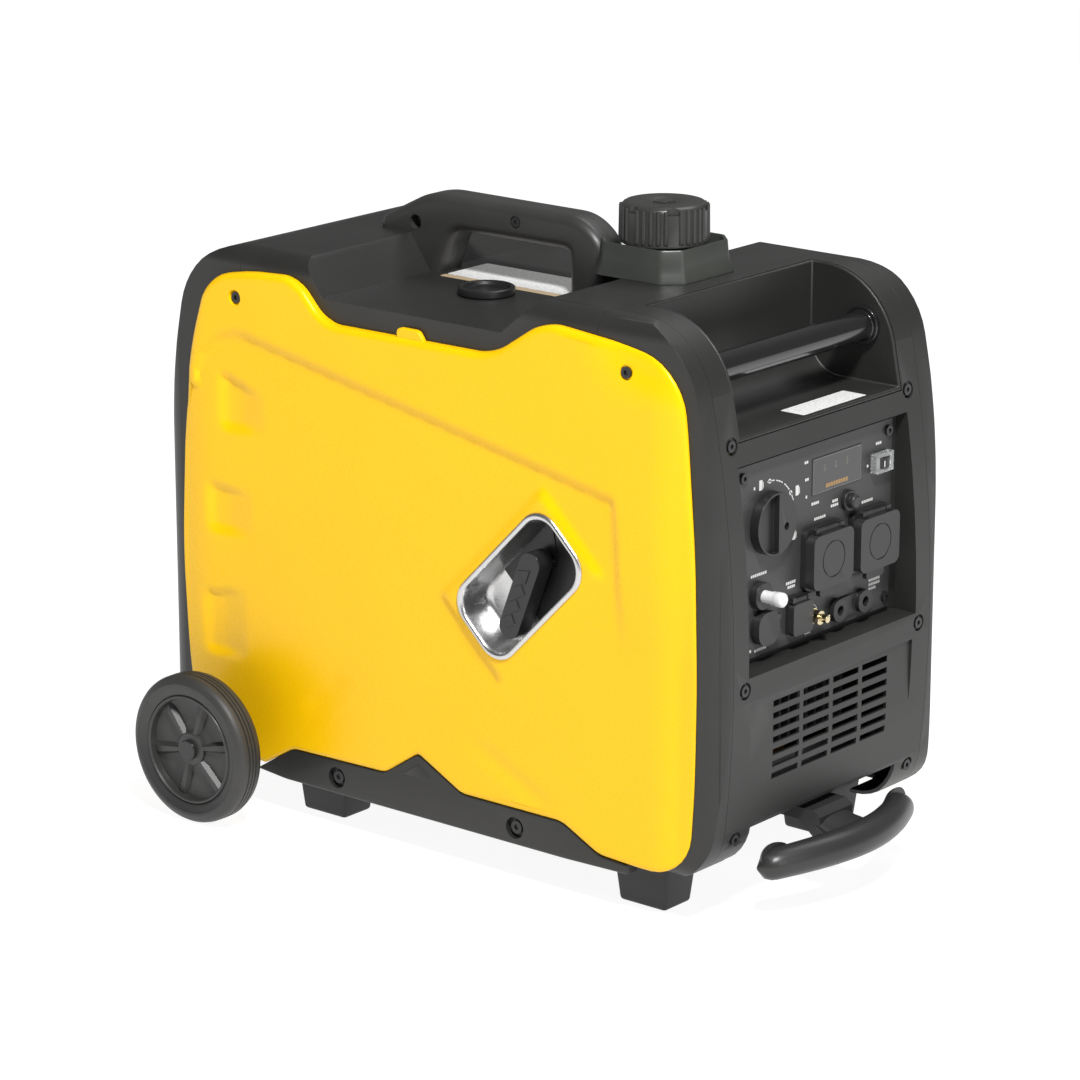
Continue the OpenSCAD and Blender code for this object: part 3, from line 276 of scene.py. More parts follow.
def plate(points, low, high):
    """A closed plate from an outline of (x, z, corner cut) in mm, standing between two values of y in mm."""
    form = bmesh.new()
    face = form.faces.new([form.verts.new(((x + sheet_origin) / 1000, low / 1000, z / 1000)) for x, z, cut in points])
    for vert, cut in zip(list(face.verts), [p[2] for p in points]):
        if cut:
            bmesh.ops.bevel(form, geom=[vert], offset=cut / 1000, offset_type="OFFSET", segments=7, profile=0.5,
                    affect="VERTICES", material=-1, clamp_overlap=True)
    bmesh.ops.remove_doubles(form, verts=form.verts, dist=2e-4)
    lift = bmesh.ops.extrude_face_region(form, geom=form.faces[:], use_keep_orig=True)
    raised = [v for v in lift["geom"] if isinstance(v, bmesh.types.BMVert)]
    move(form, raised, (0, (high - low) / 1000, 0))
    bmesh.ops.recalc_face_normals(form, faces=form.faces)
    return form


def carve(made, cutters, solver="EXACT"):
    """Cuts closed forms out of a piece and keeps the result as its mesh."""
    for form in cutters:
        mesh = bpy.data.meshes.new("cutter")
        form.to_mesh(mesh)
        form.free()
        tool = bpy.data.objects.new("cutter", mesh)
        bpy.context.scene.collection.objects.link(tool)
        cut = made.modifiers.new("cut", "BOOLEAN")
        cut.operation, cut.object, cut.solver = "DIFFERENCE", tool, solver
        result = bpy.data.meshes.new_from_object(made.evaluated_get(bpy.context.evaluated_depsgraph_get()))
        made.modifiers.clear()
        made.data = result
        bpy.data.objects.remove(tool)
    made.data.shade_smooth()
    made.data.set_sharp_from_angle(angle=math.radians(40))


def cover(node, side, material):
    """One cover: a plate with a rolled rim whose face is then worked to its levels."""
    form = plate(outline, side * cover_back, side * (cover_back + 0.42 * cover_rise))
    front = max(form.faces, key=lambda f: f.normal.y * side)
    for thick, deep in ((0.65, 0.26), (1.1, 0.18), (1.8, 0.105), (2.2, 0.035)):
        bmesh.ops.inset_region(form, faces=[front], thickness=thick / 1000, depth=deep * cover_rise / 1000,
                use_even_offset=True)
    sheet = [front]
    level = (cover_back + 0.999 * cover_rise) / 1000
    for axis, first, last in ((0, -292, 250), (2, 48, 468)):
        cut = [0.0, 0.0, 0.0]
        cut[axis] = 1.0
        for step in range(first, last, 4):
            at = [step / 1000 + 0.0007] * 3
            parts = set(sheet) | {e for f in sheet for e in f.edges} | {v for f in sheet for v in f.verts}
            bmesh.ops.bisect_plane(form, geom=list(parts), dist=1e-6, plane_co=at, plane_no=cut)
            sheet = [f for f in form.faces if all(abs(v.co.y) > level for v in f.verts)]
    for vert in form.verts:
        rise = (abs(vert.co.y) * 1000 - cover_back) / cover_rise
        if rise > 0.01:
            x, z = vert.co.x * 1000 - sheet_origin, vert.co.z * 1000
            height = cover_rise - min(cover_dip(x, z), 6.8)
            slant = math.radians(dish_slant)
            u = abs((x - dish_x) * math.cos(slant) + (z - dish_z) * math.sin(slant)) - 67
            v = abs(-(x - dish_x) * math.sin(slant) + (z - dish_z) * math.cos(slant)) - 36
            if side < 0:
                height += (cover_rise - height) * ease((9 - max(u, v)) / 7)
            vert.co.y = side * (cover_back + rise * height) / 1000
    made = piece(node + "_moulding", form, material, "body", (node,), angle=50)
    cutters = []
    for x in (-192.3, 212.9):
        form = bmesh.new()
        bmesh.ops.create_cone(form, cap_ends=True, segments=32, radius1=0.0056, radius2=0.0070, depth=0.005)
        rotate(form, form.verts, 90 * -side, "X")
        move(form, form.verts, ((x + sheet_origin) / 1000, side * 0.1568, 0.4392))
        cutters.append(form)
    if side < 0:
        form = plate([(-64.5, -33.5, 21), (64.5, -33.5, 21), (64.5, 33.5, 21), (-64.5, 33.5, 21)], -170, -140)
        move(form, form.verts, (-sheet_origin / 1000, 0, 0))
        rotate(form, form.verts, -dish_slant, "Y")
        move(form, form.verts, ((dish_x + sheet_origin) / 1000, 0, dish_z / 1000))
        cutters.append(form)
    else:
        for row in range(8):
            left = 68 + 3 * row
            form = plate([(left, 150 + 14 * row, 2.5), (left + 90, 150 + 14 * row, 2.5),
                    (left + 90, 156 + 14 * row, 2.5), (left, 156 + 14 * row, 2.5)], 145, 165)
            cutters.append(form)
    carve(made, cutters)
    return made


yellow_abs = moulded("yellow_abs_gloss", "#FFC800", 0.28, grain=2.2, depth=0.004, shift="#FFC400", share=0.5,
        specular=0.3)
cover("side_cover_left", -1, yellow_abs)
cover("side_cover_right", 1, yellow_abs)
tab = plate([(-20, 430, 0), (8.5, 430, 1), (8.5, 433, 2), (3, 440, 3), (-17, 440, 3), (-20, 437, 2)], -154.6, -150.2)
piece("cover_tab_left", tab, yellow_abs, "body").modifiers.new("rounded_edges",
        "BEVEL").width = 0.0012


# ---- Side skirts ----
# Black polypropylene strips that close the bottom of each side; a peak in the middle runs up into the cover.
# Each is held by two screws in wide counterbores.


def rolled_plate(corners, side, back, face, radius, steps=6):
    """A plate whose outer rim is rolled back by a radius in mm.

    Each corner is x, z, how far it is cut back to round it, and whether the edge that follows it is rolled.
    """
    count = len(corners)
    turn = sum(corners[i - 1][0] * corners[i][1] - corners[i][0] * corners[i - 1][1] for i in range(count))
    inward = 1 if turn > 0 else -1
    rings = []
    form = bmesh.new()
    angles = [math.radians(90 * step / steps) for step in range(steps + 1)]
    for inset, height in [(0, back)] + [(radius * (1 - math.cos(t)),
            face - radius + radius * math.sin(t)) for t in angles]:
        lines = []
        for i in range(count):
            start, end = Vector(corners[i][:2]), Vector(corners[(i + 1) % count][:2])
            along = (end - start).normalized()
            lines.append((start + Vector((-along.y, along.x)) * inward * inset * corners[i][3], along))
        sharp = []
        for i in range(count):
            (a, u), (b, v) = lines[i - 1], lines[i]
            sharp.append(a + u * ((b - a).cross(v) / u.cross(v)))
        ring = []
        for i in range(count):
            here, before, after = sharp[i], sharp[i - 1], sharp[(i + 1) % count]
            hollow = lines[i - 1][1].cross(lines[i][1]) * inward < 0
            cut = max(corners[i][2] + (0.55 if hollow else -0.55) * inset, 0.4)
            cut = min(cut, (before - here).length * 0.49, (after - here).length * 0.49)
            start, end = here + (before - here).normalized() * cut, here + (after - here).normalized() * cut
            for t in (0, 1 / 7, 2 / 7, 3 / 7, 4 / 7, 5 / 7, 6 / 7, 1):
                at = start * (1 - t) ** 2 + here * 2 * t * (1 - t) + end * t ** 2
                ring.append(form.verts.new(((at.x + sheet_origin) / 1000, side * height / 1000, at.y / 1000)))
        rings.append(ring)
    for low_ring, high_ring in zip(rings, rings[1:]):
        for i in range(len(low_ring)):
            j = (i + 1) % len(low_ring)
            form.faces.new((low_ring[i], low_ring[j], high_ring[j], high_ring[i]))
    form.faces.new(rings[0])
    form.faces.new(rings[-1])
    bmesh.ops.recalc_face_normals(form, faces=form.faces)
    return form


def bore(x, z, y, radius, depth):
    """A cutter for a round hole along Y at a CAD place, sizes in mm."""
    form = bmesh.new()
    bmesh.ops.create_cone(form, cap_ends=True, segments=40, radius1=radius / 1000, radius2=radius / 1000,
            depth=depth / 1000)
    rotate(form, form.verts, 90, "X")
    move(form, form.verts, (x / 1000, y / 1000, z / 1000))
    return form


for side, label in ((-1, "left"), (1, "right")):
    points = [(-181.8, 36, 2, 1), (-141.6, 61.8, 5, 1), (-39.4, 63.8, 5, 1), (-2, 87.7, 4, 1), (45, 63.8, 5, 1),
            (148.4, 63.8, 6, 1), (187, 44.2, 5, 1),
              (214, 42.6, 1, 1), (214, 34.5, 1, 1), (150, 33, 4, 1), (-150, 33, 4, 1)]
    form = rolled_plate(points, side, 140, 152.9, 1.8, steps=4)
    skirt = piece("side_skirt_%s_moulding" % label, form, black_polypropylene, "body",
            ("side_skirt_" + label,))
    holes = [bore(x, 47.3, side * y, radius, depth) for y, radius,
            depth in ((152, 9.0, 8), (145, 2.7, 30)) for x in (-121.9, 69.3)]
    carve(skirt, holes, "MANIFOLD")
    facet = rolled_plate([(-19, 67, 1, 1), (15, 67, 1, 1), (-2, 79, 1, 1)], side, 152.4, 153.4, 0.6, steps=2)
    piece("skirt_facet_" + label, facet, black_polypropylene, "body")

# ---- Carry handle ----
# Two black half shells screwed together from the starter side, straddling the deck.
# The grip is fully rounded; a drain hole passes through the rear foot.
handle_plastic = moulded("black_polyamide_handle", "#313130", 0.4, shift="#3A3A39", share=0.6)
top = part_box("carry_handle_left")[1].z * 1000
handle_outline = [(-160, 474, 3, 1), (-160, 489, 9, 1), (-113, 512.5, 14, 1), (-96, top, 18, 1),
        (52, top - 0.5, 20, 1), (77, 497, 14, 1), (79.5, 447, 2, 0),
                  (42, 447, 2, 1), (42, 486.5, 9, 1), (-80, 486.5, 12, 1), (-95, 447, 2, 0), (-116, 447, 2, 0),
                  (-146, 474, 2, 0)]
for side, label in ((-1, "left"), (1, "right")):
    form = rolled_plate(handle_outline, side, 0.1, 17.0, 9.0, steps=8)
    half_shell = piece("carry_handle_%s_moulding" % label, form, handle_plastic, "body",
            ("carry_handle_" + label,), angle=50)
    cutters = [bore(-149.5, 489.5, side * 17, 6.0, 18)]
    if side < 0:
        cutters.append(bore(-42.5, 503, -17.2, 5.2, 4))
    carve(half_shell, cutters, "MANIFOLD")

# ---- Fuel filler surround ----
# Square collar with chamfered corners in slightly greenish black polypropylene, against the handle's front foot.
# Its wall stands open towards the handle so that spilt fuel runs off.
grey_polypropylene = moulded("green_black_polypropylene", "#343733", 0.36, shift="#3F423D", share=0.7)
low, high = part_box("filler_surround")
middle = (low + high) / 2
rings = []
collar = bmesh.new()
for half, cut, z in ((46.4, 15, low.z * 1000), (46.2, 15, low.z * 1000 + 2), (44.2, 14.5, low.z * 1000 + 7),
        (42.9, 14, low.z * 1000 + 14),
                     (42.0, 13.5, high.z * 1000 - 1.0), (41.4, 13.2, high.z * 1000), (39.6, 12.6, high.z * 1000),
                     (39.0, 12.4, high.z * 1000 - 1.0),
                     (38.8, 12.2, low.z * 1000 + 4), (28.2, 12, low.z * 1000 + 3.6), (27.8, 12, low.z * 1000)):
    corners = [(half, -half + cut), (half, half - cut), (half - cut, half), (-half + cut, half),
               (-half, half - cut), (-half, -half + cut), (-half + cut, -half), (half - cut, -half)]
    if half < 30:
        corners = [(half * math.cos(math.radians(-22.5 + 45 * i)),
                half * math.sin(math.radians(-22.5 + 45 * i))) for i in range(8)]
    ring = []
    for i, corner in enumerate(corners):
        # each corner is rounded off with four points of a short arc
        before, after = Vector(corners[i - 1]), Vector(corners[(i + 1) % 8])
        corner = Vector(corner)
        start, end = corner + (before - corner).normalized() * 3, corner + (after - corner).normalized() * 3
        for t in (0.0, 0.33, 0.67, 1.0):
            at = start * (1 - t) ** 2 + corner * 2 * t * (1 - t) + end * t ** 2
            ring.append(collar.verts.new((middle.x + at.x / 1000, middle.y + at.y / 1000, z / 1000)))
    rings.append(ring)
for ring, after in zip(rings, rings[1:] + rings[:1]):
    for i in range(len(ring)):
        j = (i + 1) % len(ring)
        collar.faces.new((ring[i], ring[j], after[j], after[i]))
bmesh.ops.recalc_face_normals(collar, faces=collar.faces)
collar = piece("filler_surround_moulding", collar, grey_polypropylene, "body", ("filler_surround",),
        angle=28)
opening = bmesh.new()
bmesh.ops.create_cube(opening, size=0.001)
bmesh.ops.scale(opening, verts=opening.verts, vec=(30, 52, 40))
bmesh.ops.bevel(opening, geom=opening.edges[:], offset=0.003, offset_type="OFFSET", segments=3, profile=0.5,
        affect="EDGES", material=-1)
move(opening, opening.verts, (middle.x - 0.050, middle.y, low.z + 0.0275))
carve(collar, [opening], "MANIFOLD")

# ---- Fuel cap ----
# Ribbed black polyamide screw cap, about 73 mm across, with finger notches cut into its upper rim.
# The crown carries a raised pump sign; the grain is coarser than on the housing.
cap_polyamide = moulded("black_polyamide_cap", "#2E2E2D", 0.36, grain=1.4, depth=0.08, shift="#3A3A38", share=0.8)
low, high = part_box("fuel_cap")
cap_middle, cap_radius = (low + high) / 2, (high.x - low.x) / 2 * 1000


def turned(profile, material, name, body, stands_for=(), where=(0, 0, 0), axis="Z", steps=96, angle=32):
    """A solid of revolution from (radius, height) points in mm."""
    form = bmesh.new()
    verts = [form.verts.new((r / 1000, 0, h / 1000)) for r, h in profile]
    edges = [form.edges.new(pair) for pair in zip(verts, verts[1:])]
    bmesh.ops.spin(form, geom=verts + edges, cent=(0, 0, 0), axis=(0, 0, 1), angle=2 * math.pi, steps=steps,
            use_merge=True)
    bmesh.ops.remove_doubles(form, verts=form.verts, dist=2e-5)
    bmesh.ops.recalc_face_normals(form, faces=form.faces)
    turn = {"Z": Matrix.Identity(3), "X": Matrix.Rotation(math.radians(90), 3, "Y"),
            "Y": Matrix.Rotation(math.radians(90), 3, "X")}[axis]
    bmesh.ops.rotate(form, verts=form.verts, matrix=turn)
    move(form, form.verts, where)
    if name is None:
        return form
    return piece(name, form, material, body, stands_for, angle)


r = cap_radius
crown = turned([(0, 31.2), (12.5, 31.2), (14.2, 32.2), (r - 8, 32.6), (r - 4.5, 31.9), (r - 2.6, 30.4),
        (r - 1.6, 27.5), (r - 1.4, 3.5),
                (r - 0.6, 2.2), (r - 0.6, 0.8), (r - 1.6, 0), (30, 0), (29.4, 1), (29.4, 12), (0, 12)],
               cap_polyamide, "fuel_cap_crown", "cap", ("fuel_cap",),
               (cap_middle.x, cap_middle.y, low.z), steps=144)
ribs = bmesh.new()
for step in range(36):
    if step % 6 == 2:
        continue
    turn = math.radians(step * 10)
    made = bmesh.ops.create_cone(ribs, cap_ends=True, segments=10, radius1=0.0021, radius2=0.0017,
            depth=0.0265)["verts"]
    move(ribs, made, (cap_middle.x + (r - 1.9) / 1000 * math.cos(turn),
            cap_middle.y + (r - 1.9) / 1000 * math.sin(turn), low.z + 0.0165))
piece("fuel_cap_ribs", ribs, cap_polyamide, "cap")
notches = bmesh.new()
for step in range(6):
    turn = math.radians(20 + step * 60)
    made = bmesh.ops.create_cone(notches, cap_ends=True, segments=24, radius1=0.0085, radius2=0.0085,
            depth=0.012)["verts"]
    move(notches, made, (cap_middle.x + (r + 3.6) / 1000 * math.cos(turn),
            cap_middle.y + (r + 3.6) / 1000 * math.sin(turn), high.z - 0.0005))
carve(crown, [notches])
sign = bmesh.new()
for x0, x1, y0, y1 in ((-7, 5, -6, -4.6), (-5.8, 3.8, -4.6, 8), (5.4, 6.8, -2, 6)):
    made = bmesh.ops.create_cube(sign, size=0.001)["verts"]
    bmesh.ops.scale(sign, verts=made, vec=(x1 - x0, y1 - y0, 0.9))
    move(sign, made, (cap_middle.x + (x0 + x1) / 2000, cap_middle.y + (y0 + y1) / 2000, low.z + 0.0314))
bmesh.ops.bevel(sign, geom=sign.edges[:], offset=0.0002, offset_type="OFFSET", segments=2, profile=0.5,
        affect="EDGES", material=-1)
piece("fuel_cap_pump_sign", sign, cap_polyamide, "cap")

# ---- Grab bar ----
# Steel tube in gloss black powder coat, held between moulded bosses in the walls of the front recess.
gloss_coat = moulded("gloss_black_powder_coat", "#181818", 0.2, grain=1.6, depth=0.02, coat=0.6)
rounded("grab_bar", 0.8, gloss_coat)

# ---- Access plug in the deck ----
# Soft black rubber plug over the spark plug service hole, with a rolled rim to pull it by.
plug_rubber = moulded("black_rubber_plug", "#1D1D1D", 0.38, grain=1.6, depth=0.03)
low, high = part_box("access_plug")
turned([(0, 12), (15, 12), (18.5, 13), (19.5, 15.4), (20.4, 16.0), (21.8, 16.1), (23, 15.4), (23.4, 14),
        (23.4, 10.4), (22.4, 9.2), (19.5, 9), (19.5, 0), (0, 0)],
       plug_rubber, "access_plug_turned", "plug_cover", ("access_plug",),
       ((low.x + high.x) / 2, (low.y + high.y) / 2, low.z - 0.0011))

# ---- Labels ----
# Printed white polyester stickers with blank generic rules in place of wording.
# One lies on the deck with a tan strip beside it, and one in the front recess.


def printed(name, columns, rows, accent):
    """White polyester film with rows of thin grey rules, which stand in for small print."""
    material, shader, place = blank(name)
    split = add(material, "ShaderNodeSeparateXYZ", {"Vector": place.outputs["Object"]})
    across, along = split.outputs[columns], split.outputs[rows]
    wave = add(material, "ShaderNodeMath", {0: across, 1: 2 * math.pi / 0.0032}, operation="MULTIPLY")
    line = add(material, "ShaderNodeMath", {0: wave.outputs["Value"]}, operation="SINE")
    broken = add(material, "ShaderNodeTexNoise", {"Vector": place.outputs["Object"], "Scale": 420.0, "Detail": 1.0})
    inked = add(material, "ShaderNodeMath", {0: line.outputs["Value"], 1: 0.55}, operation="GREATER_THAN")
    gap = add(material, "ShaderNodeMath", {0: broken.outputs["Fac"], 1: 0.48}, operation="GREATER_THAN")
    ink = add(material, "ShaderNodeMath", {0: inked.outputs["Value"], 1: gap.outputs["Value"]}, operation="MULTIPLY")
    soft = add(material, "ShaderNodeMath", {0: ink.outputs["Value"], 1: 0.55}, operation="MULTIPLY")
    tint = add(material, "ShaderNodeMix", {"Factor": soft.outputs["Value"], "A": linear("#EDEDEB"),
            "B": linear(accent)}, data_type="RGBA")
    material.node_tree.links.new(tint.outputs["Result"], shader.inputs["Base Color"])
    shader.inputs["Roughness"].default_value = 0.3
    return material


def sticker(name, x0, x1, y0, y1, z, radius, material):
    """A film label 0.25 mm thick lying level on a surface."""
    form = plate([(x0 - sheet_origin, y0, radius), (x1 - sheet_origin, y0, radius), (x1 - sheet_origin, y1, radius),
            (x0 - sheet_origin, y1, radius)], 0, 0.25)
    rotate(form, form.verts, -90, "X")
    bmesh.ops.scale(form, verts=form.verts, vec=(1, -1, 1))
    move(form, form.verts, (0, 0, z / 1000))
    bmesh.ops.recalc_face_normals(form, faces=form.faces)
    return piece(name, form, material, "body")


deck_print = printed("printed_polyester_deck_label", "Y", "X", "#8C8C8A")
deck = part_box("access_plug")[0].z * 1000 + 8.1
sticker("deck_label", -117, 10, -36, 16, deck, 3, deck_print)
sticker("deck_label_strip", -117, 10, 16.6, 25, deck, 2, moulded("tan_polyester_strip", "#C4AE8C", 0.35, depth=0.002))
low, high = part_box("grab_recess_tub")
recess_print = printed("printed_polyester_recess_label", "X", "Y", "#A9A9A7")
sticker("recess_label", 224.5, 247.5, -68, 16, low.z * 1000 + 3.05, 1.5, recess_print)

# ---- Recoil starter ----
# A pressed stainless dish set slanting into the cover; its rolled rim and its floor share one brushed finish here,
# though the rim is polished on the machine.
# The nylon guide and its ring are screwed to the floor, and the T-grip is drawn up against them by the rope.
brushed_steel, shader, place = blank("brushed_stainless_dish")
# brush lines 0.4 mm apart, drawn out fifty times along the slant of the dish
lines = add(brushed_steel, "ShaderNodeMapping", {"Vector": place.outputs["Object"],
        "Rotation": (0, math.radians(dish_slant), 0), "Scale": (50, 2500, 2500)})
brush = add(brushed_steel, "ShaderNodeTexNoise", {"Vector": lines.outputs["Vector"], "Scale": 1.0, "Detail": 3.0})
relief = add(brushed_steel, "ShaderNodeBump", {"Height": brush.outputs["Fac"], "Strength": 0.5, "Distance": 0.00004})
tone = add(brushed_steel, "ShaderNodeMix", {"Factor": brush.outputs["Fac"], "A": linear("#B4B4B4"),
        "B": linear("#E6E6E6")}, data_type="RGBA")
gloss = add(brushed_steel, "ShaderNodeMapRange", {"Value": brush.outputs["Fac"], "To Min": 0.2, "To Max": 0.38})
for socket, output in (("Base Color", tone.outputs["Result"]), ("Roughness", gloss.outputs["Result"]),
        ("Normal", relief.outputs["Normal"])):
    brushed_steel.node_tree.links.new(output, shader.inputs[socket])
shader.inputs["Metallic"].default_value = 1.0


def slanted(form, x=dish_x + sheet_origin, z=dish_z, degrees=dish_slant):
    """Turns a form drawn about the origin to the slant of the dish and puts it in place."""
    rotate(form, form.verts, -degrees, "Y")
    move(form, form.verts, (x / 1000, 0, z / 1000))
    return form


dish = bmesh.new()
rings = []
for length, width, y in ((134, 72, -157.0), (134, 72, -158.6), (133, 71, -159.6), (130, 68, -160.4),
        (126.5, 64.5, -160.2), (124.5, 62.5, -158.8),
                         (123, 61, -156.5), (121, 59, -148), (118, 56, -138), (113, 51, -133.2), (106, 44, -132.2)):
    ring = bmesh.new()
    face = ring.faces.new([ring.verts.new((sx * length / 2000, y / 1000, sz * width / 2000)) for sx,
            sz in ((-1, -1), (1, -1), (1, 1), (-1, 1))])
    bmesh.ops.bevel(ring, geom=ring.verts[:], offset=(22 - (134 - length) / 2 * 0.55) / 1000, offset_type="OFFSET",
            segments=12, profile=0.5, affect="VERTICES", material=-1)
    ring.faces.ensure_lookup_table()
    rings.append([v.co.copy() for v in ring.faces[0].verts])
    ring.free()
loops = []
for points in rings:
    verts = [dish.verts.new(p) for p in points]
    loops.append([dish.edges.new((verts[i], verts[(i + 1) % len(verts)])) for i in range(len(verts))])
for first, second in zip(loops, loops[1:]):
    bmesh.ops.bridge_loops(dish, edges=first + second)
bmesh.ops.contextual_create(dish, geom=loops[-1])
bmesh.ops.recalc_face_normals(dish, faces=dish.faces)
if min(dish.faces, key=lambda f: abs(f.calc_center_median().y + 0.1322)).normal.y > 0:
    bmesh.ops.reverse_faces(dish, faces=dish.faces)
dish = piece("starter_dish", slanted(dish), brushed_steel, "body", ("starter_bezel",), angle=60)
thick = dish.modifiers.new("sheet_thickness", "SOLIDIFY")
thick.thickness, thick.offset = 0.0006, -1.0

guide_nylon = moulded("black_nylon_guide", "#1B1B1B", 0.36, depth=0.02)
rounded("starter_guide", 1.0, guide_nylon)

grip_abs = moulded("black_abs_grip", "#202020", 0.3, depth=0.015)
rounded("starter_grip", 2.2, grip_abs, segments=4)
# three raised diamonds and a small triangle on the face of the grip
marks = bmesh.new()
for along, size, corners in ((-24, 6.5, 4), (-10, 6.5, 4), (4, 6.5, 4), (19, 7.5, 3)):
    made = bmesh.ops.create_cone(marks, cap_ends=True, segments=corners, radius1=size / 1000,
            radius2=(size - 0.5) / 1000, depth=0.0012)["verts"]
    rotate(marks, made, 90, "X")
    if corners == 3:
        rotate(marks, made, -90, "Y")
    move(marks, made, (0, -0.1573, along / 1000))
slanted(marks, x=76.5, z=243.5, degrees=-21)
piece("starter_grip_marks", marks, grip_abs, "pull_grip")

# The rope is 5 mm braided polyester, black with a fine fleck, from the reel straight out to the grip.
# Fifteen turns of the braid to 100 mm show as slanting ridges.
rope_braid, shader, place = blank("braided_polyester_rope")
wave = add(rope_braid, "ShaderNodeTexWave", {"Vector": place.outputs["Object"], "Scale": 45.0, "Distortion": 1.5,
        "Detail": 1.0}, bands_direction="DIAGONAL")
relief = add(rope_braid, "ShaderNodeBump", {"Height": wave.outputs["Fac"], "Strength": 1.0, "Distance": 0.0004})
tone = add(rope_braid, "ShaderNodeMix", {"Factor": wave.outputs["Fac"], "A": linear("#1A1A1A"),
        "B": linear("#3A3A3A")}, data_type="RGBA")
rope_braid.node_tree.links.new(tone.outputs["Result"], shader.inputs["Base Color"])
rope_braid.node_tree.links.new(relief.outputs["Normal"], shader.inputs["Normal"])
shader.inputs["Roughness"].default_value = 0.8
low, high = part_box("starter_rope")
form = bmesh.new()
bmesh.ops.create_cone(form, cap_ends=True, segments=20, radius1=(high.x - low.x) / 2, radius2=(high.x - low.x) / 2,
        depth=high.y - low.y)
rotate(form, form.verts, 90, "X")
move(form, form.verts, (low + high) / 2)
for step in range(1, 60):
    bmesh.ops.bisect_plane(form, geom=form.verts[:] + form.edges[:] + form.faces[:],
            plane_co=(0, low.y + (high.y - low.y) * step / 60, 0), plane_no=(0, 1, 0))
mesh = bpy.data.meshes.new("starter_rope_braid")
form.to_mesh(mesh)
form.free()
mesh.materials.append(rope_braid)
mesh.shade_smooth()
mesh.set_sharp_from_angle(angle=math.radians(40))
rope = bpy.data.objects.new("starter_rope_braid", mesh)
bpy.context.scene.collection.objects.link(rope)
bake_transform(rope)
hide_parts("starter_rope")

# ---- Control panel plate ----
# Dark grey printed plate with fine grain, screwed into the front recess; generic dots and rules stand for its print.
panel_film = moulded("dark_grey_panel_film", "#353535", 0.42, grain=0.6, depth=0.03, shift="#3B3B3B", share=0.6)
rounded("control_panel", 0.5, panel_film)
plate_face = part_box("control_panel")[1].x
white_ink = moulded("white_screen_ink", "#D5D5D3", 0.45, depth=0.003)
ink = bmesh.new()


def stroke(y0, y1, z0, z1, form=ink, raise_mm=0.12, face=plate_face):
    """A printed or moulded rule on the plate, sizes in mm."""
    made = bmesh.ops.create_cube(form, size=0.001)["verts"]
    bmesh.ops.scale(form, verts=made, vec=(raise_mm + 0.1, y1 - y0, z1 - z0))
    move(form, made, (face + (raise_mm - 0.1) / 2000, (y0 + y1) / 2000, (z0 + z1) / 2000))
    return made


def dot(y, z, radius, form=ink):
    """A printed round dot."""
    made = bmesh.ops.create_cone(form, cap_ends=True, segments=20, radius1=radius / 1000, radius2=radius / 1000,
            depth=0.00022)["verts"]
    rotate(form, made, 90, "Y")
    move(form, made, (plate_face + 0.00001, y / 1000, z / 1000))


knob_y, knob_z = -61.5, 313.0
for step in range(22):
    turn = math.radians(92 - step * 5.0)
    if step % 4 == 3 and step < 16:
        continue
    made = stroke(-1.6, 1.6, -0.5, 0.5)
    move(ink, made, (-plate_face, 0, 0))
    bmesh.ops.rotate(ink, verts=made, matrix=Matrix.Rotation(turn - math.radians(90), 3, "X"))
    move(ink, made, (plate_face, (knob_y + 33 * math.cos(turn)) / 1000, (knob_z + 33 * math.sin(turn)) / 1000))
for turn in (90, 33, -24):
    dot(knob_y + 33 * math.cos(math.radians(turn)), knob_z + 33 * math.sin(math.radians(turn)), 1.9)
# pump and choke signs as plain bars, scale marks beside the display, and short rules for the captions
for y, z in ((-72.5, 345), (-25, 331), (-28.5, 296)):
    stroke(y - 2.4, y + 1.6, z - 4, z + 4)
    stroke(y + 2.2, y + 3.0, z - 3, z + 2)
for y0, y1, z in ((-82, -77, 344), (-16, -9.5, 351), (-15, -9.5, 337), (-14, -9.5, 323), (-6, 6, 315.5),
        (22, 31, 312), (20, 31, 308.5),
                  (-2, 14, 302.5), (62, 78, 302.5), (80, 88, 347), (68, 71, 331), (-84, -62, 274), (-38, -24, 258),
                  (-36, -24, 254.5),
                  (-87, -80, 214), (-78, -60, 213), (-12, -3, 211.5), (74, 90, 235), (74, 90, 231.5), (74, 86, 228)):
    for part in range(int((y1 - y0) // 2.6)):
        stroke(y0 + part * 2.6, y0 + part * 2.6 + 1.9, z - 1.1, z + 1.1)
made = bmesh.ops.create_circle(ink, cap_ends=False, segments=32, radius=0.0062)["verts"]
ring_edges = list({e for v in made for e in v.link_edges})
wide = bmesh.ops.extrude_edge_only(ink, edges=ring_edges)
outer = [v for v in wide["geom"] if isinstance(v, bmesh.types.BMVert)]
bmesh.ops.scale(ink, verts=outer, vec=(1.13, 1.13, 1.0))
both = list(set(made) | set(outer))
rotate(ink, both, 90, "Y")
move(ink, both, (plate_face + 0.0001, -0.003, 0.2265))
piece("panel_print", ink, white_ink, "body")

